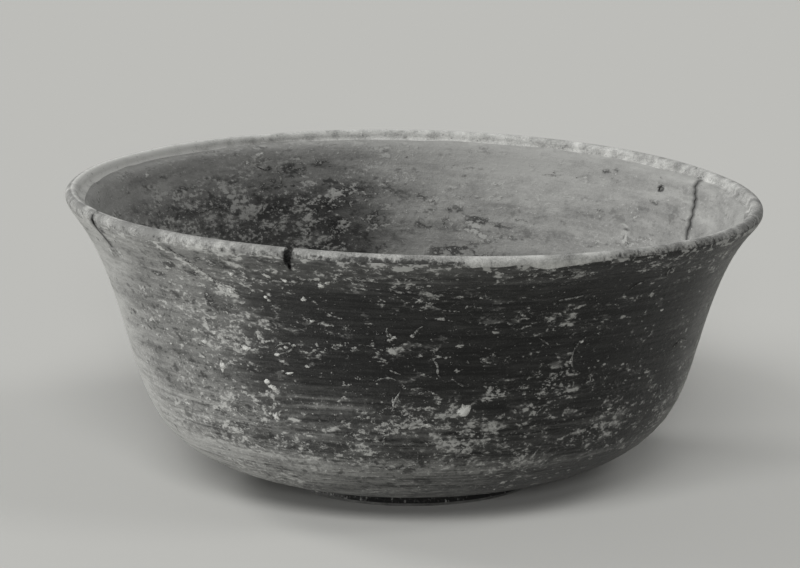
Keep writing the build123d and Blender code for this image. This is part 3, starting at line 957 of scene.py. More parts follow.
TOP_FILM = (
    (0, 0.3), (0.3, 0.25), (0.6, 0.1), (0.7, 0), (0.85, 0.05), (0.89, 0.36), (0.93, 0.62), (0.97, 0.8),
    (1, 0.86),
)
PALE_INSIDE = (
    (-149.5, 0.962, 4.5, 2.4, 1, -15), (-146, 0.94, 3.5, 2.6, 0.9, 30), (-150, 0.925, 3, 2.4, 0.7),
    (-121, 0.957, 3.6, 1.7, 1, -25), (-139, 0.845, 10, 1.4, 0.6, 8), (-132, 0.825, 7, 2, 0.7, 12),
    (-142, 0.825, 8, 2.4, 0.5), (-152, 0.925, 3, 6, 0.5), (-155, 0.82, 3, 5, 0.5),
    (-175, 0.955, 16, 4, 0.8), (-178, 0.9, 12, 3.4, 0.7), (-171, 0.93, 12, 2.4, 0.5),
    (120.5, 0.917, 2.6, 2.6, 0.7), (140, 0.93, 18, 5, 0.5), (128, 0.87, 9, 4, 0.5), (146, 0.87, 9, 3, 0.5),
    (-131, 0.775, 9, 3, 0.7), (-136, 0.79, 7, 3, 0.6), (-158, 0.965, 12, 1.6, 0.5),
    (-128, 0.945, 12, 2, 0.4), (160, 0.83, 8, 4, 0.5), (172, 0.79, 5, 4, 0.6), (176, 0.83, 5, 3, 0.5),
    (20, 0.6, 30, 14, 0.5), (-60, 0.45, 26, 12, 0.5), (100, 0.35, 26, 14, 0.5), (-130, 0.3, 26, 10, 0.5),
    (170, 0.15, 24, 12, 0.5), (0, 0.8, 20, 6, 0.4), (60, 0.8, 20, 8, 0.5), (-90, 0.7, 16, 9, 0.4),
)
STAINS_INSIDE = (
    (148, 0.705, 24, 4.5, 0.6), (168, 0.725, 22, 6, 0.6), (131, 0.69, 14, 3, 0.5),
    (158, 0.765, 20, 2.4, 0.4), (175, 0.79, 16, 4, 0.5), (124, 0.938, 2.6, 2, 0.9),
    (-168, 0.86, 12, 7, 0.7), (-160, 0.83, 10, 9, 0.9), (-163, 0.79, 8, 7, 0.8), (-172, 0.8, 8, 5, 0.6),
    (-148, 0.8, 14, 3, 0.8), (-137, 0.87, 14, 2.4, 0.6), (-150, 0.89, 8, 3.4, 0.7),
    (-128, 0.85, 12, 3, 0.5), (-141, 0.92, 10, 3, 0.6), (-130, 0.91, 12, 2.4, 0.5), (-156, 0.92, 8, 4, 0.7),
    (-163, 0.93, 10, 3, 0.55), (-118, 0.93, 10, 3, 0.45), (175, 0.79, 9, 3.4, 0.7), (166, 0.8, 7, 2.6, 0.7),
    (160, 0.79, 7, 2.2, 0.6), (171, 0.82, 7, 2, 0.6), (178, 0.85, 7, 2, 0.5), (155, 0.805, 10, 1.6, 0.5),
    (144, 0.83, 12, 1.2, 0.35), (113, 0.885, 14, 0.8, 0.4), (125, 0.825, 18, 0.9, 0.5),
    (40, 0.2, 30, 10, 0.5), (-20, 0.3, 26, 8, 0.5), (-100, 0.2, 24, 8, 0.5), (150, 0.5, 26, 10, 0.5),
    (-10, 0.65, 24, 8, 0.5),
)


def paint(mesh, azimuth, share, curve, looks, seed, even_floor=0.0):
    """Lays the fields and the grain's direction on a coat."""
    film_and_sheen, flecks, low_film, low_round, low_flecks, pale, dark_spots, pale_bands, dark_bands = looks
    drift = 9 * (cloud(azimuth, share, 12, 8, seed) - 0.5)
    milky_and_sheen = round_the_bowl(azimuth + drift, film_and_sheen)
    milky_and_sheen += even_floor * ease(0.72, 0.4, share) * (EVEN_FILM - milky_and_sheen)
    low = up_the_wall(share + 0.02 * (cloud(azimuth, share, 16, 2, seed + 1) - 0.5), low_film)
    low *= round_the_bowl(azimuth, low_round)
    milky_and_sheen += (1 - milky_and_sheen) * low * (0.8 + 0.4 * cloud(azimuth, share, 14, 3, seed + 2))
    milky_and_sheen *= 0.85 + 0.3 * cloud(azimuth, share, 18, 40, seed + 3)
    milky_and_sheen = np.maximum(milky_and_sheen, bands(azimuth, share, curve, pale_bands))
    fleck = np.maximum(round_the_bowl(azimuth + drift, flecks), up_the_wall(share, low_flecks))
    fleck += 0.3 * (cloud(azimuth, share, 40, 16, seed + 4) - 0.5)
    dark = np.maximum(smudges(azimuth, share, curve, dark_spots), bands(azimuth, share, curve, dark_bands))
    fields = (np.clip(milky_and_sheen, 0, 1), np.clip(fleck, 0, 1), smudges(azimuth, share, curve, pale), dark,
              ease(4 * MM, 0, (1 - share) * curve.length))
    for name, values in zip(FIELD_NAMES, fields):
        mark(mesh, name, values)
    angle = np.radians(azimuth)
    below_seat = np.where(share < 0.005, corners(mesh)[:, 2] - SEAT_Z, 0)
    flow = np.stack([np.sin(angle), -np.cos(angle), (share * curve.length + below_seat) / MM], 1)
    kept = mesh.attributes.new("flow", "FLOAT_VECTOR", "POINT").data
    kept.foreach_set("vector", flow.ravel().astype(np.float32))


# %% [markdown]
# ## The coat's material
# The slip is a skin of very fine clay with a dull shine. On this bowl it is dark, streaked round and
# round by the dipping and the wheel, and milky with lime. On the outside the milky film also carries a
# painted sheen near its far left and right, and the dark stains carry painted shade low on the right.
# The shader starts from two dark tones and lays the painted fields on top, each broken up by noise. The
# noises that make streaks read the flow attribute, which runs round the bowl and up the wall, so a
# streak follows the wall everywhere.

# %% Shader pieces
ROUND = 68.0                # millimetres that one unit of the flow attribute spans round the bowl
SPREAD = 0.07               # how far a noise of four octaves strays from its middle value


def attribute(tree, name, vector=False):
    node = add(tree, "ShaderNodeAttribute", attribute_name=name)
    return node.outputs["Vector" if vector else "Fac"]


def noise(tree, vector, scale, detail=4.0, roughness=0.62):
    """A noise in units of its spread: 0 in the middle, above 1 on a sixth of the surface."""
    scaled = vector_calc(tree, "MULTIPLY", vector, scale)
    inputs = {"Vector": scaled, "Scale": 1.0, "Detail": detail, "Roughness": roughness}
    value = add(tree, "ShaderNodeTexNoise", inputs).outputs["Fac"]
    return times_add(tree, value, 1 / SPREAD, -0.5 / SPREAD)


def along_wall(tree, flow, wide, high, detail=4.0, roughness=0.62):
    """Noise whose blots are this many millimetres wide and high on the wall."""
    return noise(tree, flow, (ROUND / wide, ROUND / wide, 1 / high), detail, roughness)


def anyway(tree, place, size, detail=3.0, roughness=0.6):
    """Noise whose blots are this many millimetres in every direction."""
    return noise(tree, place, (1 / (size * MM),) * 3, detail, roughness)


def step(tree, value, low_edge, high_edge, low_value=0.0, high_value=1.0):
    """A smooth step of a value between two edges, which may be sockets."""
    inputs = {"Value": value, "From Min": low_edge, "From Max": high_edge,
              "To Min": low_value, "To Max": high_value}
    return out(tree, "ShaderNodeMapRange", inputs, interpolation_type="SMOOTHSTEP")


def cover(tree, amount, grain, soft=0.4):
    """Crisp blots that cover hardly anything at amount 0 and most of the surface at amount 1."""
    edge = times_add(tree, amount, -2.6, 2.5 - soft / 2)
    return step(tree, grain, edge, calc(tree, "ADD", edge, soft))


def blend(tree, *parts):
    """A weighted sum of pairs of socket and weight."""
    total = times(tree, *parts[0])
    for value, weight in parts[1:]:
        total = times_add(tree, value, weight, total)
    return total


def mix(tree, share, first, second, strength=1.0):
    if strength != 1.0:
        share = times(tree, share, strength)
    inputs = {0: share, 6: first, 7: second}
    return add(tree, "ShaderNodeMix", inputs, data_type="RGBA").outputs[2]


def new_material(name, roughness=1.0, gloss=0.3):
    material = bpy.data.materials.new(name)
    material.use_nodes = True
    tree = material.node_tree
    tree.nodes.clear()
    shader = add(tree, "ShaderNodeBsdfPrincipled", {"Roughness": roughness, "Specular IOR Level": gloss})
    add(tree, "ShaderNodeOutputMaterial", {"Surface": shader.outputs[0]})
    return material, tree, shader


def finish_look(tree, shader, base, height, distance):
    """Gives a shader its colour, and its relief by a height and how many millimetres 1 of it stands for."""
    tree.links.new(base, shader.inputs["Base Color"])
    bump = add(tree, "ShaderNodeBump", {"Height": height, "Distance": distance * MM, "Strength": 1.0})
    tree.links.new(bump.outputs[0], shader.inputs["Normal"])


# %% The slip
SLIP_DARK, SLIP_LIGHT, DEEP_DARK_TONE = tone(8), tone(40), tone(10)
GRIME_TONE, FILM_AND_SHEEN_TONE, LIME_TONE, CLAY_TONE = tone(84), tone(150), tone(200), tone(160)
MIST_TONE, PATCH_DULL, FLECK_DULL, FLECK_BRIGHT = tone(100), tone(104), tone(62), tone(164)
LOW_FROM, LOW_TO = 36.0, 52.0       # millimetres up the wall between which the low streaks fade out


def slip_material(name, seed, size=1.0, soft_top=0.8, streaky=1.0):
    """The worn slip: the size of its flakes, how softly its top wears off, and how streaky its film is."""
    material, tree, shader = new_material(name)
    flow = vector_calc(tree, "ADD", attribute(tree, "flow", True), (seed, 0, 0))
    patchy = along_wall(tree, flow, 16, 7, 2)
    wander = out(tree, "ShaderNodeCombineXYZ", {2: times(tree, patchy, 0.1)})
    flow = vector_calc(tree, "ADD", flow, wander)
    place = add(tree, "ShaderNodeTexCoord").outputs["Object"]
    film_and_sheen, fleck, pale, stain_and_shade, edge, break_darkness = (attribute(tree, field) for field in (*FIELD_NAMES, "break_darkness"))
    broad, streak = along_wall(tree, flow, 11, 3.4, 3), along_wall(tree, flow, 9, 0.8, 4, 0.66)
    lines = along_wall(tree, flow, 34, 0.75, 3, 0.6)
    flake = along_wall(tree, flow, 3.2 * size, 1.8 * size, 3, 0.56)
    chip, dust = along_wall(tree, flow, 1.2, 0.75, 3, 0.6), anyway(tree, place, 0.3)
    drift = along_wall(tree, flow, 6.5 * size, 2.6 * size, 4, 0.6)
    low = step(tree, add(tree, "ShaderNodeSeparateXYZ", {0: flow}).outputs["Z"], LOW_TO, LOW_FROM)

    worn_tone = step(tree, blend(tree, (streak, 0.6), (lines, 0.4), (dust, 0.45), (broad, 0.3)), -1.6, 2.2)
    base = mix(tree, worn_tone, SLIP_DARK, SLIP_LIGHT)
    some = blend(tree, (fleck, 1.0), (patchy, 0.13), (broad, 0.05))
    grime = step(tree, blend(tree, (flake, 0.5), (chip, 0.7), (dust, 0.35), (streak, 0.3)), 0.2, 2.4)
    grime = times(tree, grime, times_add(tree, some, 1.1, 0.12), clamp=True)
    base = mix(tree, grime, base, GRIME_TONE)
    low_lines = times(tree, blend(tree, (lines, 0.8), (chip, 0.3), (flake, 0.3)), low)
    cloudy = blend(tree, (broad, 0.16), (streak, 0.15 * streaky), (dust, 0.1), (low_lines, 0.36 * streaky),
                   (drift, 0.14 * (1 - streaky)), (chip, 0.06 * (1 - streaky)))
    # The film mask lays real lime film, and on the outside's far left and right a painted sheen as well.
    calm = times_add(tree, film_and_sheen, -0.8, 1.1)
    milk_and_sheen = times(tree, film_and_sheen, times_add(tree, cloudy, calm, 1.0), clamp=True)
    base = mix(tree, milk_and_sheen, base, FILM_AND_SHEEN_TONE)
    rest = calc(tree, "SUBTRACT", 1.0, film_and_sheen)
    half_milky = times(tree, times(tree, film_and_sheen, times(tree, rest, rest)), 6.7)
    bare = cover(tree, 0.46, blend(tree, (flake, -0.7), (drift, -0.4), (chip, -0.45), (dust, 0.2)), 1.5)
    bare = times(tree, calc(tree, "POWER", bare, 1.3), half_milky, clamp=True)
    base = mix(tree, bare, base, SLIP_LIGHT, 0.85)
    misty = blend(tree, (some, 1.0), (film_and_sheen, -0.2))
    mist = cover(tree, misty, blend(tree, (drift, 0.75), (flake, 0.5), (streak, 0.25)), 2.4)
    base = mix(tree, calc(tree, "POWER", mist, 1.7), base, MIST_TONE, 0.9)
    mottled = calc(tree, "ADD", blend(tree, (flake, 0.5), (broad, 0.2), (chip, 0.25)), 1.0)
    # Real dark stains, and low on the right side painted shade, darken the coat here.
    stain_and_shade_mask = step(tree, times(tree, stain_and_shade, mottled), 0.25, 0.85)
    base = mix(tree, stain_and_shade_mask, base, DEEP_DARK_TONE, 0.8)
    whiter = step(tree, blend(tree, (fleck, 3.2), (broad, 0.55), (patchy, 0.35), (chip, 0.8)), 0.0, 3.4)
    fleck_tone = mix(tree, whiter, FLECK_DULL, FLECK_BRIGHT)
    clear = times(tree, some, times_add(tree, film_and_sheen, -0.45, 1.05))
    spots = cover(tree, clear, blend(tree, (flake, 0.75), (drift, 0.5), (chip, 0.35), (dust, 0.15)), 2.4)
    spots = calc(tree, "POWER", spots, 1.5)
    base = mix(tree, spots, base, fleck_tone)
    bits = cover(tree, times(tree, clear, 0.85), blend(tree, (chip, 0.8), (flake, 0.35), (dust, 0.35)), 1.4)
    base = mix(tree, calc(tree, "POWER", bits, 1.6), base, fleck_tone, 0.7)
    patch = cover(tree, times(tree, pale, 1.1), blend(tree, (flake, 0.5), (chip, 0.7), (dust, 0.35)), 2.2)
    brighter = step(tree, blend(tree, (pale, 1.0), (chip, 0.2)), 0.25, 1.15)
    patch_tone = mix(tree, brighter, PATCH_DULL, FLECK_BRIGHT)
    base = mix(tree, calc(tree, "POWER", patch, 1.5), base, patch_tone, 0.95)
    sparks = step(tree, blend(tree, (dust, 0.75), (chip, 0.5), (fleck, 0.5)), 2.6, 3.1)
    base = mix(tree, sparks, base, LIME_TONE, 0.7)
    rubbed = blend(tree, (flake, 0.8), (chip, 0.4), (broad, 0.4))
    worn = cover(tree, times(tree, edge, 0.9), rubbed, soft_top)
    base = mix(tree, worn, base, CLAY_TONE, 0.85)
    base = mix(tree, break_darkness, base, DEEP_DARK_TONE, 0.9)

    chalky = calc(tree, "MAXIMUM", calc(tree, "MAXIMUM", spots, patch), calc(tree, "MAXIMUM", sparks, worn))
    dull = calc(tree, "MAXIMUM", chalky, milk_and_sheen)
    tree.links.new(step(tree, dull, 0.0, 1.0, 0.46, 0.82), shader.inputs["Roughness"])
    height = blend(tree, (chalky, 0.5), (dust, 0.12), (chip, 0.16), (lines, 0.1))
    finish_look(tree, shader, base, height, 0.06)
    return material


slip_outside_look = slip_material("worn_slip_outside", 3.7)
slip_inside_look = slip_material("worn_slip_inside", 17.3, 1.25, 2.6, 0.3)
slip_base_look = slip_material("worn_slip_base", 29.1)

# %% [markdown]
# ## Bare clay and lime
# The clay is fine and even, a little rubbed and stained where it shows on the lip. Lime is a chalky
# crust, whiter where it is thick.

# %% The clay and the lime
SKIN_TONE, CRUST_THIN, CRUST_FAIR, CRUST_THICK = tone(50), tone(60), tone(138), tone(212)


def clay_material(name, light, dark):
    material, tree, shader = new_material(name, 0.88)
    place = add(tree, "ShaderNodeTexCoord").outputs["Object"]
    grain, cloudy, speck = anyway(tree, place, 0.35), anyway(tree, place, 4.0, 4), anyway(tree, place, 0.8)
    clean, skin, break_darkness = (attribute(tree, field) for field in ("clean", "skin", "break_darkness"))
    blotch = anyway(tree, place, 1.6)
    fresh = step(tree, blend(tree, (clean, 2.4), (cloudy, 0.25), (grain, 0.14)), 0.0, 2.4)
    base = mix(tree, fresh, dark, light)
    dark_spots = cover(tree, 0.2, blend(tree, (speck, 0.8), (grain, 0.5), (clean, -0.6)), 0.9)
    base = mix(tree, dark_spots, base, GRIME_TONE, 0.5)
    left = step(tree, blend(tree, (skin, 2.0), (blotch, 0.22), (speck, 0.14)), 0.5, 1.7)
    base = mix(tree, left, base, SKIN_TONE, 0.9)
    base = mix(tree, break_darkness, base, DEEP_DARK_TONE, 0.9)
    finish_look(tree, shader, base, blend(tree, (grain, 0.25), (speck, 0.12), (dark_spots, -0.25)), 0.06)
    return material


def lime_material():
    material, tree, shader = new_material("lime_crust", 0.9)
    place = add(tree, "ShaderNodeTexCoord").outputs["Object"]
    grain, cloudy = anyway(tree, place, 0.3), anyway(tree, place, 1.1)
    white = blend(tree, (attribute(tree, "thick"), 1.0), (cloudy, 0.10), (grain, 0.08))
    base = mix(tree, step(tree, white, 0.08, 0.38), CRUST_THIN, CRUST_FAIR)
    base = mix(tree, step(tree, white, 0.35, 0.95), base, CRUST_THICK)
    finish_look(tree, shader, base, blend(tree, (grain, 0.3), (cloudy, 0.2)), 0.08)
    return material


clay_look = clay_material("bare_clay", tone(205), tone(120))
# The foot clay's tones are kept dark as painted shade, for the shadow under the bowl.
foot_shaded_look = clay_material("foot_clay", tone(132), tone(84))
luting_look = clay_material("luting_clay_look", tone(156), tone(126))
lime_look = lime_material()
print("materials:", [material.name for material in bpy.data.materials])

# %% [markdown]
# ## Make the wall
# The three pieces of the wall are turned on the same wheel, cut by the same blades and fired
# together, so a crack runs through clay and coats alike.

# %% Turn, coat, break, fire and paint
EDGE_ANGLE = radians(38)


def finish_surface(mesh):
    mesh.polygons.foreach_set("use_smooth", [True] * len(mesh.polygons))
    mesh.set_sharp_from_angle(angle=EDGE_ANGLE)


CLEAN_OUTSIDE = (    # azimuth and how freshly bare the lip is
    (-180, 0.33), (-150, 0.46), (-110, 0.33), (-80, 0.17), (-50, 0.2), (-25, 0.29), (-12, 0.36), (0, 0.29),
    (6, 0.4), (12, 0.57), (18, 0.61), (28, 0.6), (36, 0.33), (50, 0.29), (75, 0.25), (110, 0.4),
    (150, 0.25),
)
CLEAN_INSIDE = (
    (-180, 0.66), (-165, 0.66), (-150, 0.75), (-130, 1), (-100, 0.95), (-80, 0.6), (-40, 0.33), (20, 0.4),
    (80, 0.33), (110, 0.43), (120, 0.37), (135, 0.44), (150, 0.56), (165, 0.6),
)
SKIN_OUTSIDE = (    # azimuth and how far up the lip's rounding thin slip is left
    (-180, 0.5), (-140, 0.3), (-100, 0.2), (-60, 0.25), (-40, 0.35), (-24, 0.45), (-12, 0.7), (0, 0.9),
    (6, 0.55), (9, 0.25), (16, 0.1), (27, 0.1), (33, 0.6), (45, 0.6), (60, 0.5), (80, 0.35), (110, 0.3),
    (150, 0.5),
)
SKIN_INSIDE = ((-180, 0.05), (-140, 0), (-110, 0), (-80, 0.1), (0, 0.3), (90, 0.1), (150, 0))


def paint_lip(mesh, azimuth, outside, height):
    """How freshly bare the clay is, and where thin slip is left on the lip's rounding."""
    clean = np.where(outside, round_the_bowl(azimuth, CLEAN_OUTSIDE), round_the_bowl(azimuth, CLEAN_INSIDE))
    clean = clean + 0.08 * (cloud(azimuth, 0, 26, 1, 31) - 0.5)
    skin = np.where(outside, round_the_bowl(azimuth, SKIN_OUTSIDE), round_the_bowl(azimuth, SKIN_INSIDE))
    height = height + 0.5 * MM * (cloud(azimuth, 0, 120, 1, 33) - 0.5)
    skin = skin * ease(LIP_Z + 1.35 * MM, LIP_Z + 0.1 * MM, height)
    mark(mesh, "clean", clean)
    mark(mesh, "skin", skin)


clay_bowl = turned("clay_bowl", body_section(), COLUMNS, clay_look)
take_away(clay_bowl, cracks, chips)
darken_breaks(clay_bowl.data)
height = corners(clay_bowl.data)[:, 2]
azimuth, _, outside = fire(clay_bowl.data)
paint_lip(clay_bowl.data, azimuth, outside, height)
finish_surface(clay_bowl.data)


def coated(name, section, look, curve, bare, top_seed, fields, seed, even_floor=0.0):
    """One coat of the wall: turned, worn at its top, broken, fired and painted."""
    coat = turned(name, section, COLUMNS, look)
    wear_top(coat.data, curve, bare, top_seed)
    take_away(coat, cracks, chips)
    darken_breaks(coat.data)
    azimuth, share, _ = fire(coat.data)
    paint(coat.data, azimuth, share, curve, fields, seed, even_floor)
    finish_surface(coat.data)
    return coat


EVERYWHERE = ((-180, 1), (0, 1))
NOWHERE = ((0, 0), (1, 0))
OUTSIDE_FIELDS = (FILM_AND_SHEEN_OUTSIDE, FLECKS_OUTSIDE, LOW_FILM, LOW_FILM_ROUND, LOW_FLECKS, PALE_OUTSIDE,
                  STAINS_AND_SHADE_OUTSIDE, PALE_BANDS, DARK_BANDS)
INSIDE_FIELDS = (FILM_INSIDE, FLECKS_INSIDE, TOP_FILM, EVERYWHERE, NOWHERE, PALE_INSIDE,
                 STAINS_INSIDE, (), ())
outer_coat = coated("outer_coat", outer_slip_section(), slip_outside_look, slip_outside, BARE_OUTSIDE, 5,
                    OUTSIDE_FIELDS, 50)
inner_coat = coated("inner_coat", inner_slip_section(), slip_inside_look, slip_inside, BARE_INSIDE, 9,
                    INSIDE_FIELDS, 60, even_floor=1.0)
for cutter in (cracks, chips):
    bpy.data.objects.remove(cutter)

# %% [markdown]
# ## The foot
# The ring was formed apart, stuck under the floor with a little soft clay and smoothed off. Standing
# and sliding have worn its resting edge. All three pieces are turned on the wheel tree, and then
# made a little uneven.

# %% Ring, luting clay and the coat inside the ring
FOOT_COLUMNS = 240
WORN = (RING_OUT - RING_IN - REST_WIDTH) / 2
WORN_EDGE = ((1, 0), (0.45, 0.22), (0.12, 0.6), (0, 1))     # shares of the worn width and height
DENT = 0.12 * MM
BASE_FIELDS = (((-180, 0.4), (-60, 0.2), (40, 0.5), (120, 0.2)), ((-180, 0.6), (0, 0.45)), NOWHERE,
               EVERYWHERE, NOWHERE, (), (), (), ())


def ring_section():
    outer = [(RING_OUT - WORN * wide, FOOT_EDGE * high) for wide, high in WORN_EDGE]
    outer.append((RING_OUT, RING_HEIGHT))
    inner = [(RING_IN + RING_OUT - r, z) for r, z in reversed(outer)]
    rest = [(RING_IN + WORN + REST_WIDTH * k / 5, 0) for k in range(1, 5)]
    return [*outer, *inner, *rest, outer[0]]


def luting_section():
    bottom = [(RING_IN, FILLET_Z), (RING_IN, RING_HEIGHT), (RING_OUT, RING_HEIGHT), (RING_OUT, FILLET_Z)]
    return [*outer_fillet(0), *inner_fillet(0), *bottom]


def base_slip_section():
    return [
        (0, UNDERSIDE_Z + SUNK), (SEAT_IN, SEAT_Z + SUNK), *inner_fillet(-SUNK), (RING_IN + SUNK, FOOT_EDGE),
        (RING_IN - COAT, FOOT_EDGE), *reversed(inner_fillet(COAT)), (SEAT_IN, SEAT_Z - COAT),
        *[(SEAT_IN * k / 12, UNDERSIDE_Z - COAT + (SEAT_Z - UNDERSIDE_Z) * k / 12) for k in range(11, 0, -1)],
        (0, UNDERSIDE_Z - COAT),
    ]


def dent(mesh, seed):
    """Small unevenness of a foot piece, which never reaches below the floor."""
    places = corners(mesh)
    azimuth, rz = azimuth_of(places), half_section(places)
    dips = cloud(azimuth, rz[:, 1] / RING_HEIGHT, 36, 3, seed) - 0.5
    places[:, :2] *= (1 - DENT * dips / RING_OUT)[:, None]
    move(mesh, places)


clay_ring = turned("clay_ring", ring_section(), FOOT_COLUMNS, foot_shaded_look)
soft_clay = turned("soft_clay", luting_section(), FOOT_COLUMNS, luting_look)
base_coat = turned("base_coat", base_slip_section(), FOOT_COLUMNS, slip_base_look)
for piece, seed in ((clay_ring, 81), (soft_clay, 82), (base_coat, 83)):
    dent(piece.data, seed)
    finish_surface(piece.data)
    azimuth = azimuth_of(corners(piece.data))
    paint_lip(piece.data, azimuth, np.ones(len(azimuth), bool), HEIGHT)
places = corners(base_coat.data)
across = np.clip(np.hypot(places[:, 0], places[:, 1]) / slip_inside.length, 0, 1)
paint(base_coat.data, azimuth_of(places), across, slip_inside, BASE_FIELDS, 90)

# %% [markdown]
# ## Lime crusts, set one by one
# In the ground, lime grew on the bowl in blobs. The plain ones in the photograph are set one by one:
# each is a low rough mound whose points all lie on the coat, so it follows the wall however it bends.

# %% Mounds of lime
CRUSTS_OUTSIDE = (    # azimuth, share, millimetres wide, high and thick, whiteness, and any tilt
    (9.5, 0.541, 3, 4.4, 0.4, 1.05, -10), (-29.2, 0.602, 1.8, 1.8, 0.3, 0.8),
    (-28.2, 0.588, 2.4, 1.7, 0.3, 0.85, -20), (-24.1, 0.633, 2.6, 1.1, 0.3, 0.9, 5),
    (-20.2, 0.657, 1.5, 0.9, 0.25, 0.75), (-39.3, 0.628, 2, 3.2, 0.3, 0.8, -8),
    (-28.3, 0.505, 1.7, 2.6, 0.3, 0.8, 12), (-29.6, 0.511, 1.2, 0.9, 0.2, 0.6),
    (-3.9, 0.562, 1, 2.9, 0.25, 0.6, 10), (-9.1, 0.522, 1.9, 1.1, 0.2, 0.55),
    (-24.8, 0.923, 2.6, 1.2, 0.2, 0.75, -35), (-21.6, 0.911, 2.2, 1.2, 0.2, 0.7, -35),
    (-15.4, 0.905, 1.8, 1.5, 0.2, 0.8), (-14.2, 0.915, 1.2, 1, 0.2, 0.65, 30),
    (-18.9, 0.855, 1.6, 1.5, 0.25, 0.85), (-26.1, 0.851, 1.3, 1, 0.2, 0.75),
    (-25.6, 0.842, 1.1, 1, 0.2, 0.7), (-31.6, 0.915, 2, 1.6, 0.2, 0.7), (-18.1, 0.79, 1.3, 0.8, 0.2, 0.7),
    (-4.4, 0.76, 1.2, 1.2, 0.25, 0.65), (-3.4, 0.754, 1.5, 0.9, 0.2, 0.65), (-0.3, 0.76, 1.2, 1, 0.25, 0.6),
    (-22.2, 0.715, 1.4, 0.8, 0.2, 0.6), (-26, 0.683, 1.6, 1, 0.25, 0.8), (-24, 0.707, 1.2, 1.1, 0.2, 0.65),
    (31.4, 0.722, 1.6, 1.2, 0.3, 0.8, 20), (29.9, 0.665, 1, 1.9, 0.25, 0.6, 5),
    (49.5, 0.778, 1.5, 0.9, 0.25, 0.85), (39.8, 0.84, 1.8, 0.9, 0.2, 0.5), (47, 0.912, 1.5, 0.9, 0.2, 0.45),
    (28.3, 0.828, 0.9, 0.6, 0.15, 0.5), (-33.8, 0.861, 4.6, 2.4, 0.12, 0.6, -10),
    (-32.6, 0.69, 3, 1.8, 0.2, 0.7), (-42.7, 0.688, 2.6, 1.4, 0.2, 0.6), (-44.8, 0.716, 2.2, 1, 0.15, 0.6),
    (-53.3, 0.49, 2.6, 1.1, 0.15, 0.55), (-37.7, 0.57, 1.5, 1.1, 0.2, 0.6), (0.9, 0.872, 1.2, 1, 0.2, 0.55),
    (2.6, 0.502, 2.6, 1.6, 0.15, 0.55), (-0.4, 0.495, 2.4, 1.2, 0.15, 0.5), (11.5, 0.386, 1, 0.7, 0.2, 0.5),
    (2.3, 0.387, 0.9, 0.6, 0.2, 0.55), (64.8, 0.622, 1.8, 0.6, 0.15, 0.6, -6),
    (35.2, 0.445, 4.2, 1.2, 0.12, 0.5), (41.9, 0.5, 1.9, 0.8, 0.15, 0.6), (151, 0.63, 2.4, 2, 0.3, 0.8),
    (-118, 0.71, 3.1, 2.5, 0.35, 0.85, 10), (-121, 0.69, 1.4, 1.2, 0.2, 0.7),
    (96, 0.68, 1.8, 1.2, 0.25, 0.7), (133, 0.81, 1.4, 1.6, 0.2, 0.65), (171, 0.52, 2.2, 1.3, 0.25, 0.8, 15),
    (-162, 0.83, 2, 1.1, 0.2, 0.7, -10), (-140, 0.57, 1.6, 1.6, 0.25, 0.7), (-98, 0.86, 1.8, 1, 0.2, 0.6),
    (74, 0.58, 1.6, 1.3, 0.25, 0.7), (112, 0.47, 2.4, 1, 0.2, 0.6), (-176, 0.66, 1.2, 1.8, 0.2, 0.65),
)
CRUSTS_INSIDE = (
    (-149.6, 0.962, 3.2, 1.6, 0.2, 0.7, -15), (-146.6, 0.945, 1.6, 2, 0.2, 0.65, 20),
    (-121, 0.957, 2.6, 1, 0.2, 0.75, -25), (-152.6, 0.93, 1.2, 1.4, 0.2, 0.5),
    (176, 0.84, 1.6, 1.2, 0.2, 0.5), (-170, 0.84, 1.2, 1, 0.2, 0.4), (-134, 0.825, 1.6, 1.1, 0.2, 0.5),
    (151, 0.93, 1.2, 0.9, 0.15, 0.6), (-40, 0.5, 2.6, 1.8, 0.3, 0.8), (60, 0.3, 2.2, 2, 0.3, 0.8),
    (140, 0.4, 1.8, 1.4, 0.25, 0.7), (-100, 0.62, 2.4, 1.4, 0.25, 0.7), (10, 0.72, 1.8, 1.3, 0.2, 0.7),
)
RINGS, SIDES = 3, 15
FADE = (1.0, 0.95, 0.8, 0.4)        # how white a crust is from its middle to its rim
RIM_SUNK, ROOT_SUNK = 0.06, 0.2     # millimetres that its rim and its underside lie in the coat


def mound(side, spot, random):
    """Points, faces and whiteness of one low crust."""
    azimuth, share, wide, high, thick, white, *tilt = spot
    curve = SURFACES[side][0]
    radius = curve.at(share)[0]
    outline = random.uniform(0.45, 1.25, SIDES)
    outline = 0.65 * outline + 0.35 * np.roll(outline, 1)
    c, s = cosine_sine(tilt)
    across, upward, lift = [0.0], [0.0], [thick * random.uniform(0.8, 1.0)]
    for ring in range(1, RINGS + 1):
        reach = ring / RINGS
        for n in range(SIDES):
            angle = 2 * pi * n / SIDES
            x, y = wide / 2 * outline[n] * reach * cos(angle), high / 2 * outline[n] * reach * sin(angle)
            across.append(x * c - y * s)
            upward.append(x * s + y * c)
            height = 0.75 * thick * (1 - reach**2.2) * random.uniform(0.6, 1.2)
            lift.append(height if ring < RINGS else -RIM_SUNK)
    across, upward, lift = np.array(across) * MM, np.array(upward) * MM, np.array(lift) * MM
    top = on_wall(side, azimuth + np.degrees(across / radius), share + upward / curve.length, lift)
    under = on_wall(side, azimuth, share, -ROOT_SUNK * MM)
    points = np.concatenate([top, under])
    last = len(points) - 1
    faces = []
    for n in range(SIDES):
        m = (n + 1) % SIDES
        faces.append((0, 1 + n, 1 + m))
        for ring in range(RINGS - 1):
            a = 1 + SIDES * ring
            faces.append((a + n, a + SIDES + n, a + SIDES + m, a + m))
        a = 1 + SIDES * (RINGS - 1)
        faces.append((last, a + m, a + n))
    if side == "inside":
        faces = [face[::-1] for face in faces]
    fade = [FADE[0], *np.repeat(FADE[1:], SIDES), 0]
    return points, faces, white * np.array(fade)


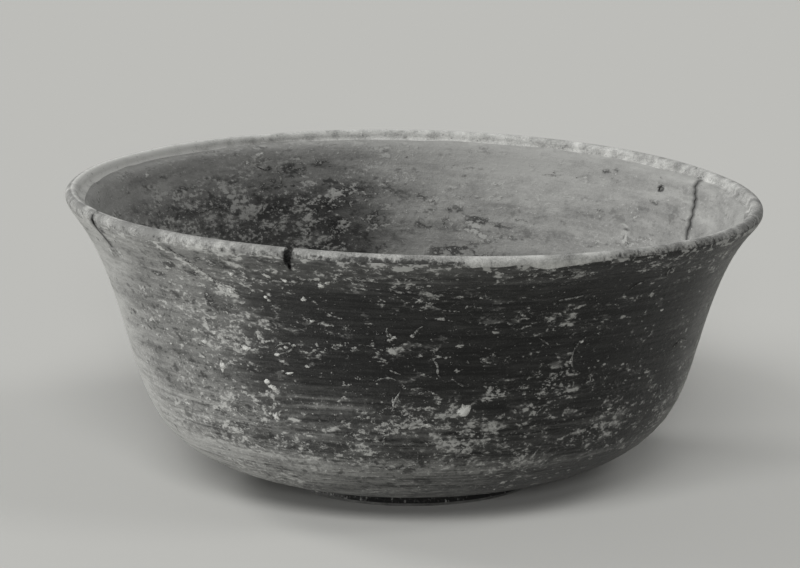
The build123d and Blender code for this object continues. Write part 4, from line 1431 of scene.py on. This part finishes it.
def crusts_object(name, spots, seed):
    random = np.random.default_rng(seed)
    shapes = [mound(side, spot, random) for side, some in spots for spot in some]
    made = solid_object(name, [shape[:2] for shape in shapes])
    mark(made.data, "thick", np.concatenate([shape[2] for shape in shapes]))
    made.data.materials.append(lime_look)
    print(f"{name}: {len(shapes)} crusts, {len(made.data.polygons)} faces")
    return made


lime_crusts = crusts_object("lime_crusts", (("outside", CRUSTS_OUTSIDE), ("inside", CRUSTS_INSIDE)), 7)
finish_surface(lime_crusts.data)

# %% [markdown]
# ## Root traces
# Fine roots grew along the wall, and lime kept their lines. A trace follows a path, so a Geometry
# Nodes tree sweeps a small round thread along lines laid on the coat, thick and thin by noise, and
# half of it stands out of the coat.

# %% Threads along lines on the wall
def trace_tree():
    tree, given, result = geometry_tree(
        "root_traces", ("Thickness", "NodeSocketFloat", 0.3 * MM), ("Unevenness", "NodeSocketFloat", 0.6),
        ("Step", "NodeSocketFloat", 0.35 * MM), ("Seed", "NodeSocketInt", 3))
    line = out(tree, "GeometryNodeMeshToCurve", {"Mesh": given["Geometry"]})
    line = out(tree, "GeometryNodeResampleCurve", {"Curve": line, "Length": given["Step"]}, mode="LENGTH")
    change = add(tree, "FunctionNodeRandomValue", {"Seed": given["Seed"]}, data_type="FLOAT").outputs[1]
    swell = times_add(tree, calc(tree, "SUBTRACT", change, 0.5), given["Unevenness"], 1.0)
    ends = add(tree, "GeometryNodeSplineParameter").outputs["Factor"]
    swing = calc(tree, "SINE", times_add(tree, ends, 0.9 * pi, 0.05 * pi))
    taper = calc(tree, "POWER", swing, 0.5)
    half = times(tree, given["Thickness"], 0.5)
    radius = times(tree, times(tree, swell, taper), half)
    circle = add(tree, "GeometryNodeCurvePrimitiveCircle", {"Resolution": 6, "Radius": 1.0}).outputs["Curve"]
    inputs = {"Curve": line, "Profile Curve": circle, "Scale": radius, "Fill Caps": True}
    return close_tree(tree, given, result, out(tree, "GeometryNodeCurveToMesh", inputs))


TRACES = {
    "outside": (
        ((32.2, 0.733), (31, 0.722), (30.1, 0.7), (29.9, 0.675), (30.3, 0.65), (31, 0.636)),
        ((1.6, 0.79), (0.7, 0.782), (0.2, 0.768), (-0.5, 0.757)),
        ((-4.6, 0.785), (-4.9, 0.772), (-4.4, 0.76), (-3.6, 0.752), (-2.8, 0.756)),
        ((0.7, 0.425), (0.8, 0.4), (0.5, 0.378), (-1, 0.366), (-4, 0.362), (-8, 0.365)),
        ((10.2, 0.432), (8.8, 0.41), (7.4, 0.388), (6.2, 0.368)),
        ((-7.4, 0.625), (-6.2, 0.635), (-4.4, 0.638), (-3.2, 0.63)),
        ((-4.6, 0.66), (-3.4, 0.653), (-2.4, 0.648)), ((0.6, 0.592), (1.8, 0.598), (2.8, 0.595)),
        ((3, 0.6), (3.8, 0.592), (4.4, 0.59)),
        ((-4.4, 0.54), (-3.8, 0.556), (-3.6, 0.575), (-2.9, 0.592), (-2.4, 0.605)),
        ((-26.4, 0.7), (-25, 0.715), (-23.2, 0.722), (-22.2, 0.712), (-22.8, 0.7), (-24.4, 0.69),
         (-26, 0.685)),
        ((-1.5, 0.9), (0.2, 0.895), (1.6, 0.885), (1.2, 0.872), (0.2, 0.864)),
        ((22, 0.935), (24.5, 0.948), (27.5, 0.952), (30, 0.945)),
        ((24.4, 0.858), (27, 0.863), (29.4, 0.87)), ((38.2, 0.868), (39.6, 0.885), (41.4, 0.897)),
        ((19.4, 0.54), (20.6, 0.524), (21.6, 0.515)), ((24, 0.515), (25, 0.53), (25.8, 0.545)),
        ((-43.4, 0.978), (-41.6, 0.955), (-39.4, 0.93), (-37.2, 0.905), (-35.2, 0.882), (-33.6, 0.868)),
        ((22.4, 0.745), (23.4, 0.735), (24.8, 0.72)),
        ((58.4, 0.638), (60.2, 0.652), (62.5, 0.655), (64, 0.645)),
        ((3.6, 0.69), (4.4, 0.67), (4.2, 0.65), (5, 0.635)), ((7.4, 0.63), (8.6, 0.618), (9.8, 0.612)),
        ((-12, 0.52), (-10, 0.526), (-8.6, 0.518)), ((-14.2, 0.462), (-13.2, 0.47), (-12.2, 0.478)),
        ((-6.6, 0.44), (-6.2, 0.455), (-5.8, 0.468)), ((46.2, 0.895), (45.6, 0.925), (47, 0.93)),
        ((88, 0.66), (91, 0.68), (95, 0.675), (98, 0.66)), ((121, 0.58), (124, 0.6), (128, 0.595)),
        ((140, 0.74), (143, 0.7), (142, 0.66)), ((160, 0.6), (163, 0.63), (167, 0.62)),
        ((-170, 0.46), (-166, 0.48), (-161, 0.47)), ((-150, 0.7), (-147, 0.74), (-143, 0.75)),
        ((-126, 0.6), (-123, 0.62), (-120, 0.6)), ((-108, 0.74), (-105, 0.71), (-104, 0.67)),
    ),
    "inside": (
        ((-146.4, 0.768), (-148.2, 0.786), (-150.2, 0.802), (-152.4, 0.8)),
        ((-152.6, 0.925), (-153, 0.9), (-152.4, 0.88)), ((-156, 0.76), (-157.4, 0.78), (-156.8, 0.795)),
        ((-162.6, 0.755), (-162.4, 0.775), (-161.4, 0.785)), ((-148, 0.94), (-150, 0.925), (-152, 0.93)),
        ((-140, 0.85), (-136, 0.856), (-131, 0.85)), ((40, 0.5), (46, 0.53), (50, 0.51)),
        ((-70, 0.35), (-60, 0.38), (-55, 0.36)), ((110, 0.55), (116, 0.56), (122, 0.54)),
    ),
}
THREAD_LIFT = 0.02 * MM
THREAD_WHITE = 0.2
points, edges = [], []
for side, paths in TRACES.items():
    for path in paths:
        path = np.array(path)
        path[:, 0] = np.unwrap(path[:, 0], period=360)
        knots = np.arange(len(path))
        fine = np.linspace(0, len(path) - 1, 6 * len(path))
        smooth = [np.interp(fine, knots, path[:, k]) for k in (0, 1)]
        smooth = [np.convolve(np.pad(line, 3, mode="edge"), np.ones(7) / 7, "valid") for line in smooth]
        start = len(points)
        points += list(on_wall(side, smooth[0], smooth[1], THREAD_LIFT))
        edges += [(start + k, start + k + 1) for k in range(len(fine) - 1)]
lines = outline_object("trace_lines", points, edges)
root_traces = plain_mesh(lines, "root_traces", trace_tree(), {
    "Thickness": 0.38 * MM, "Unevenness": 1.2, "Step": 0.3 * MM, "Seed": 3, "Material": lime_look})
bpy.data.objects.remove(lines)
finish_surface(root_traces.data)
mark(root_traces.data, "thick", np.full(len(root_traces.data.vertices), THREAD_WHITE))
print(f"root_traces: {len(root_traces.data.polygons)} faces")

# %% [markdown]
# ## Specks
# Between the crusts the coat is sprinkled with lime specks, too many to set by hand. A Geometry
# Nodes tree scatters them, denser where the fleck field is strong, lays them flat on the coat and
# draws them out round the bowl, as they are in the photograph. Each is a tiny flattened stone.

# %% Scatter the specks
SPECKS_FROM, SPECKS_TO = 0.04, 0.975        # the shares of the wall that specks lie between
FLOOR_FACING = 0.6                          # how far up a corner of the floor faces at least


def speck_tree():
    tree, given, result = geometry_tree(
        "lime_specks", ("Density", "NodeSocketFloat", 90000.0), ("Smallest", "NodeSocketFloat", 0.10 * MM),
        ("Largest", "NodeSocketFloat", 0.45 * MM), ("Seed", "NodeSocketInt", 5))
    fleck, shown = (out(tree, "GeometryNodeInputNamedAttribute", {"Name": field}, data_type="FLOAT")
                    for field in ("fleck", "shown"))
    density = times(tree, times(tree, calc(tree, "POWER", fleck, 1.5), shown), given["Density"])
    scatter = add(tree, "GeometryNodeDistributePointsOnFaces",
                  {"Mesh": given["Geometry"], "Density": density, "Seed": given["Seed"]})
    position = out(tree, "GeometryNodeInputPosition")
    around = vector_calc(tree, "CROSS_PRODUCT", (0.0, 0.0, 1.0), position)
    lie = out(tree, "FunctionNodeAlignRotationToVector", {"Vector": scatter.outputs["Normal"]}, axis="Z")
    lie = out(tree, "FunctionNodeAlignRotationToVector", {"Rotation": lie, "Vector": around},
              axis="X", pivot_axis="Z")
    chance = add(tree, "FunctionNodeRandomValue", {"Seed": given["Seed"]}, data_type="FLOAT").outputs[1]
    spread = calc(tree, "SUBTRACT", given["Largest"], given["Smallest"])
    size = times_add(tree, calc(tree, "POWER", chance, 3.0), spread, given["Smallest"])
    inputs = {0: (0.9, 0.5, 0.16), 1: (2.0, 1.1, 0.3), "Seed": calc(tree, "ADD", given["Seed"], 1.0)}
    shape = out(tree, "FunctionNodeRandomValue", inputs, data_type="FLOAT_VECTOR")
    scale = out(tree, "ShaderNodeVectorMath", {0: shape, "Scale": size}, operation="SCALE")
    stone = add(tree, "GeometryNodeMeshIcoSphere", {"Radius": 1.0, "Subdivisions": 1}).outputs["Mesh"]
    inputs = {"Points": scatter.outputs["Points"], "Instance": stone, "Rotation": lie, "Scale": scale}
    laid = out(tree, "GeometryNodeInstanceOnPoints", inputs)
    inputs = {2: 0.05, 3: 0.6, "Seed": calc(tree, "ADD", given["Seed"], 2.0)}
    white = add(tree, "FunctionNodeRandomValue", inputs, data_type="FLOAT").outputs[1]
    inputs = {"Geometry": laid, "Name": "thick", "Value": white}
    marked = out(tree, "GeometryNodeStoreNamedAttribute", inputs, data_type="FLOAT", domain="INSTANCE")
    return close_tree(tree, given, result, marked)


def show_only(mesh, curve):
    """Marks the skin of a coat that shows, so that nothing is scattered on its hidden side."""
    mesh.calc_loop_triangles()
    normals = vectors(mesh.vertices, "normal")
    outward = (normals[:, :2] * corners(mesh)[:, :2]).sum(1)
    facing = outward > 0 if curve is slip_outside else (outward < 0) | (normals[:, 2] > FLOOR_FACING)
    share = vectors(mesh.attributes["flow"].data, "vector", np.float32)[:, 2] * MM / curve.length
    mark(mesh, "shown", facing & (share < SPECKS_TO) & (share > SPECKS_FROM))


SPECKS = speck_tree()


def specks_on(coat, curve, name, seed):
    show_only(coat.data, curve)
    made = plain_mesh(coat, name, SPECKS, {
        "Density": 55000.0, "Smallest": 0.10 * MM, "Largest": 0.36 * MM, "Seed": seed, "Material": lime_look})
    print(f"{name}: {len(made.data.polygons)} faces")
    return made


specks_outside = specks_on(outer_coat, slip_outside, "lime_specks_outside", 5)
specks_inside = specks_on(inner_coat, slip_inside, "lime_specks_inside", 8)

# %% [markdown]
# ## Floor and light
# The bowl stands on a pale card. A soft key light comes from the left, a little in front and from
# above: it lights the left outside and the right inside, and leaves the front and the left inside
# dark. The card throws a little of it back up from the left. An even sky fills the rest, and lights of
# its own give the card its even tone and the bowl's soft shadow.

# %% Light the bowl
CARD_TONE = tone(189)
SKY_STRENGTH = 0.55
# Name, azimuth, elevation, strength on a surface that faces it, softness in degrees, and whether it
# lights the bowl or the card
SUNS = (
    ("key", -78, 30, 0.9, 28, True),
    ("thrown_back", -76, -24, 0.28, 50, True),
    ("card_front", 0, 36, 1.5, 20, False),
    ("card_front_low", 0, 16, 1.6, 12, False),
    ("card_front_left", -24, 38, 1.1, 20, False),
    ("card_back_left", -120, 34, 0.95, 18, False),
    ("card_right", 60, 46, 0.45, 20, False),
)
card_light = SKY_STRENGTH + sum(strength * sin(radians(elevation))
                                for _, _, elevation, strength, _, for_bowl in SUNS if not for_bowl)


def card_material():
    material, _, shader = new_material("pale_card", 1.0, 0.0)
    shader.inputs["Base Color"].default_value = tuple(part / card_light for part in CARD_TONE[:3]) + (1.0,)
    return material


bpy.ops.mesh.primitive_plane_add(size=8)
card = bpy.context.object
card.name = "card"
card.data.materials.append(card_material())
card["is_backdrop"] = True

world = bpy.data.worlds.new("studio")
scene.world = world
world.use_nodes = True
tree = world.node_tree
tree.nodes.clear()
seen = add(tree, "ShaderNodeLightPath").outputs["Is Camera Ray"]
sky = out(tree, "ShaderNodeBackground", {"Color": (1, 1, 1, 1), "Strength": SKY_STRENGTH})
backdrop = out(tree, "ShaderNodeBackground", {"Color": CARD_TONE, "Strength": 1.0})
both = out(tree, "ShaderNodeMixShader", {0: seen, 1: sky, 2: backdrop})
add(tree, "ShaderNodeOutputWorld", {"Surface": both})

bowl_only, card_only = bpy.data.collections.new("bowl_only"), bpy.data.collections.new("card_only")
card_only.objects.link(card)
for group in (bowl_only, card_only):
    scene.collection.children.link(group)
for name, azimuth, elevation, strength, softness, for_bowl in SUNS:
    sun = new_object(name, bpy.data.lights.new(name, "SUN"))
    sun.data.energy, sun.data.angle = strength * pi, radians(softness)
    azimuth, elevation = radians(azimuth), radians(elevation)
    towards = Vector((sin(azimuth) * cos(elevation), -cos(azimuth) * cos(elevation), sin(elevation)))
    sun.rotation_euler = towards.to_track_quat("Z", "Y").to_euler()
    sun.light_linking.receiver_collection = bowl_only if for_bowl else card_only
    if for_bowl:
        sun.light_linking.blocker_collection = bowl_only

# %% [markdown]
# ## Join the frame
# Every piece rides on the one body and takes the place of its node. The dressed bowl's box is
# printed, so that it can be checked against the model's.

# %% Ride, replace and finish
PIECES = (
    (clay_bowl, "clay", "bowl_body"), (clay_ring, "foot_clay", "foot_ring"),
    (soft_clay, "luting_clay", "luting_clay"), (outer_coat, "slip_outside", "outer_slip"),
    (inner_coat, "slip_inside", "inner_slip"), (base_coat, "slip_base", "base_slip"),
    (lime_crusts, "lime", "lime_spots"), (root_traces, "lime", None), (specks_outside, "lime", None),
    (specks_inside, "lime", None),
)
for piece, slot, node in PIECES:
    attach(piece, "root")
    if node:
        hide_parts(node)
    bowl_only.objects.link(piece)

low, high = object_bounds()
print("the dressed bowl's box:", [round(x, 4) for x in low], [round(x, 4) for x in high])
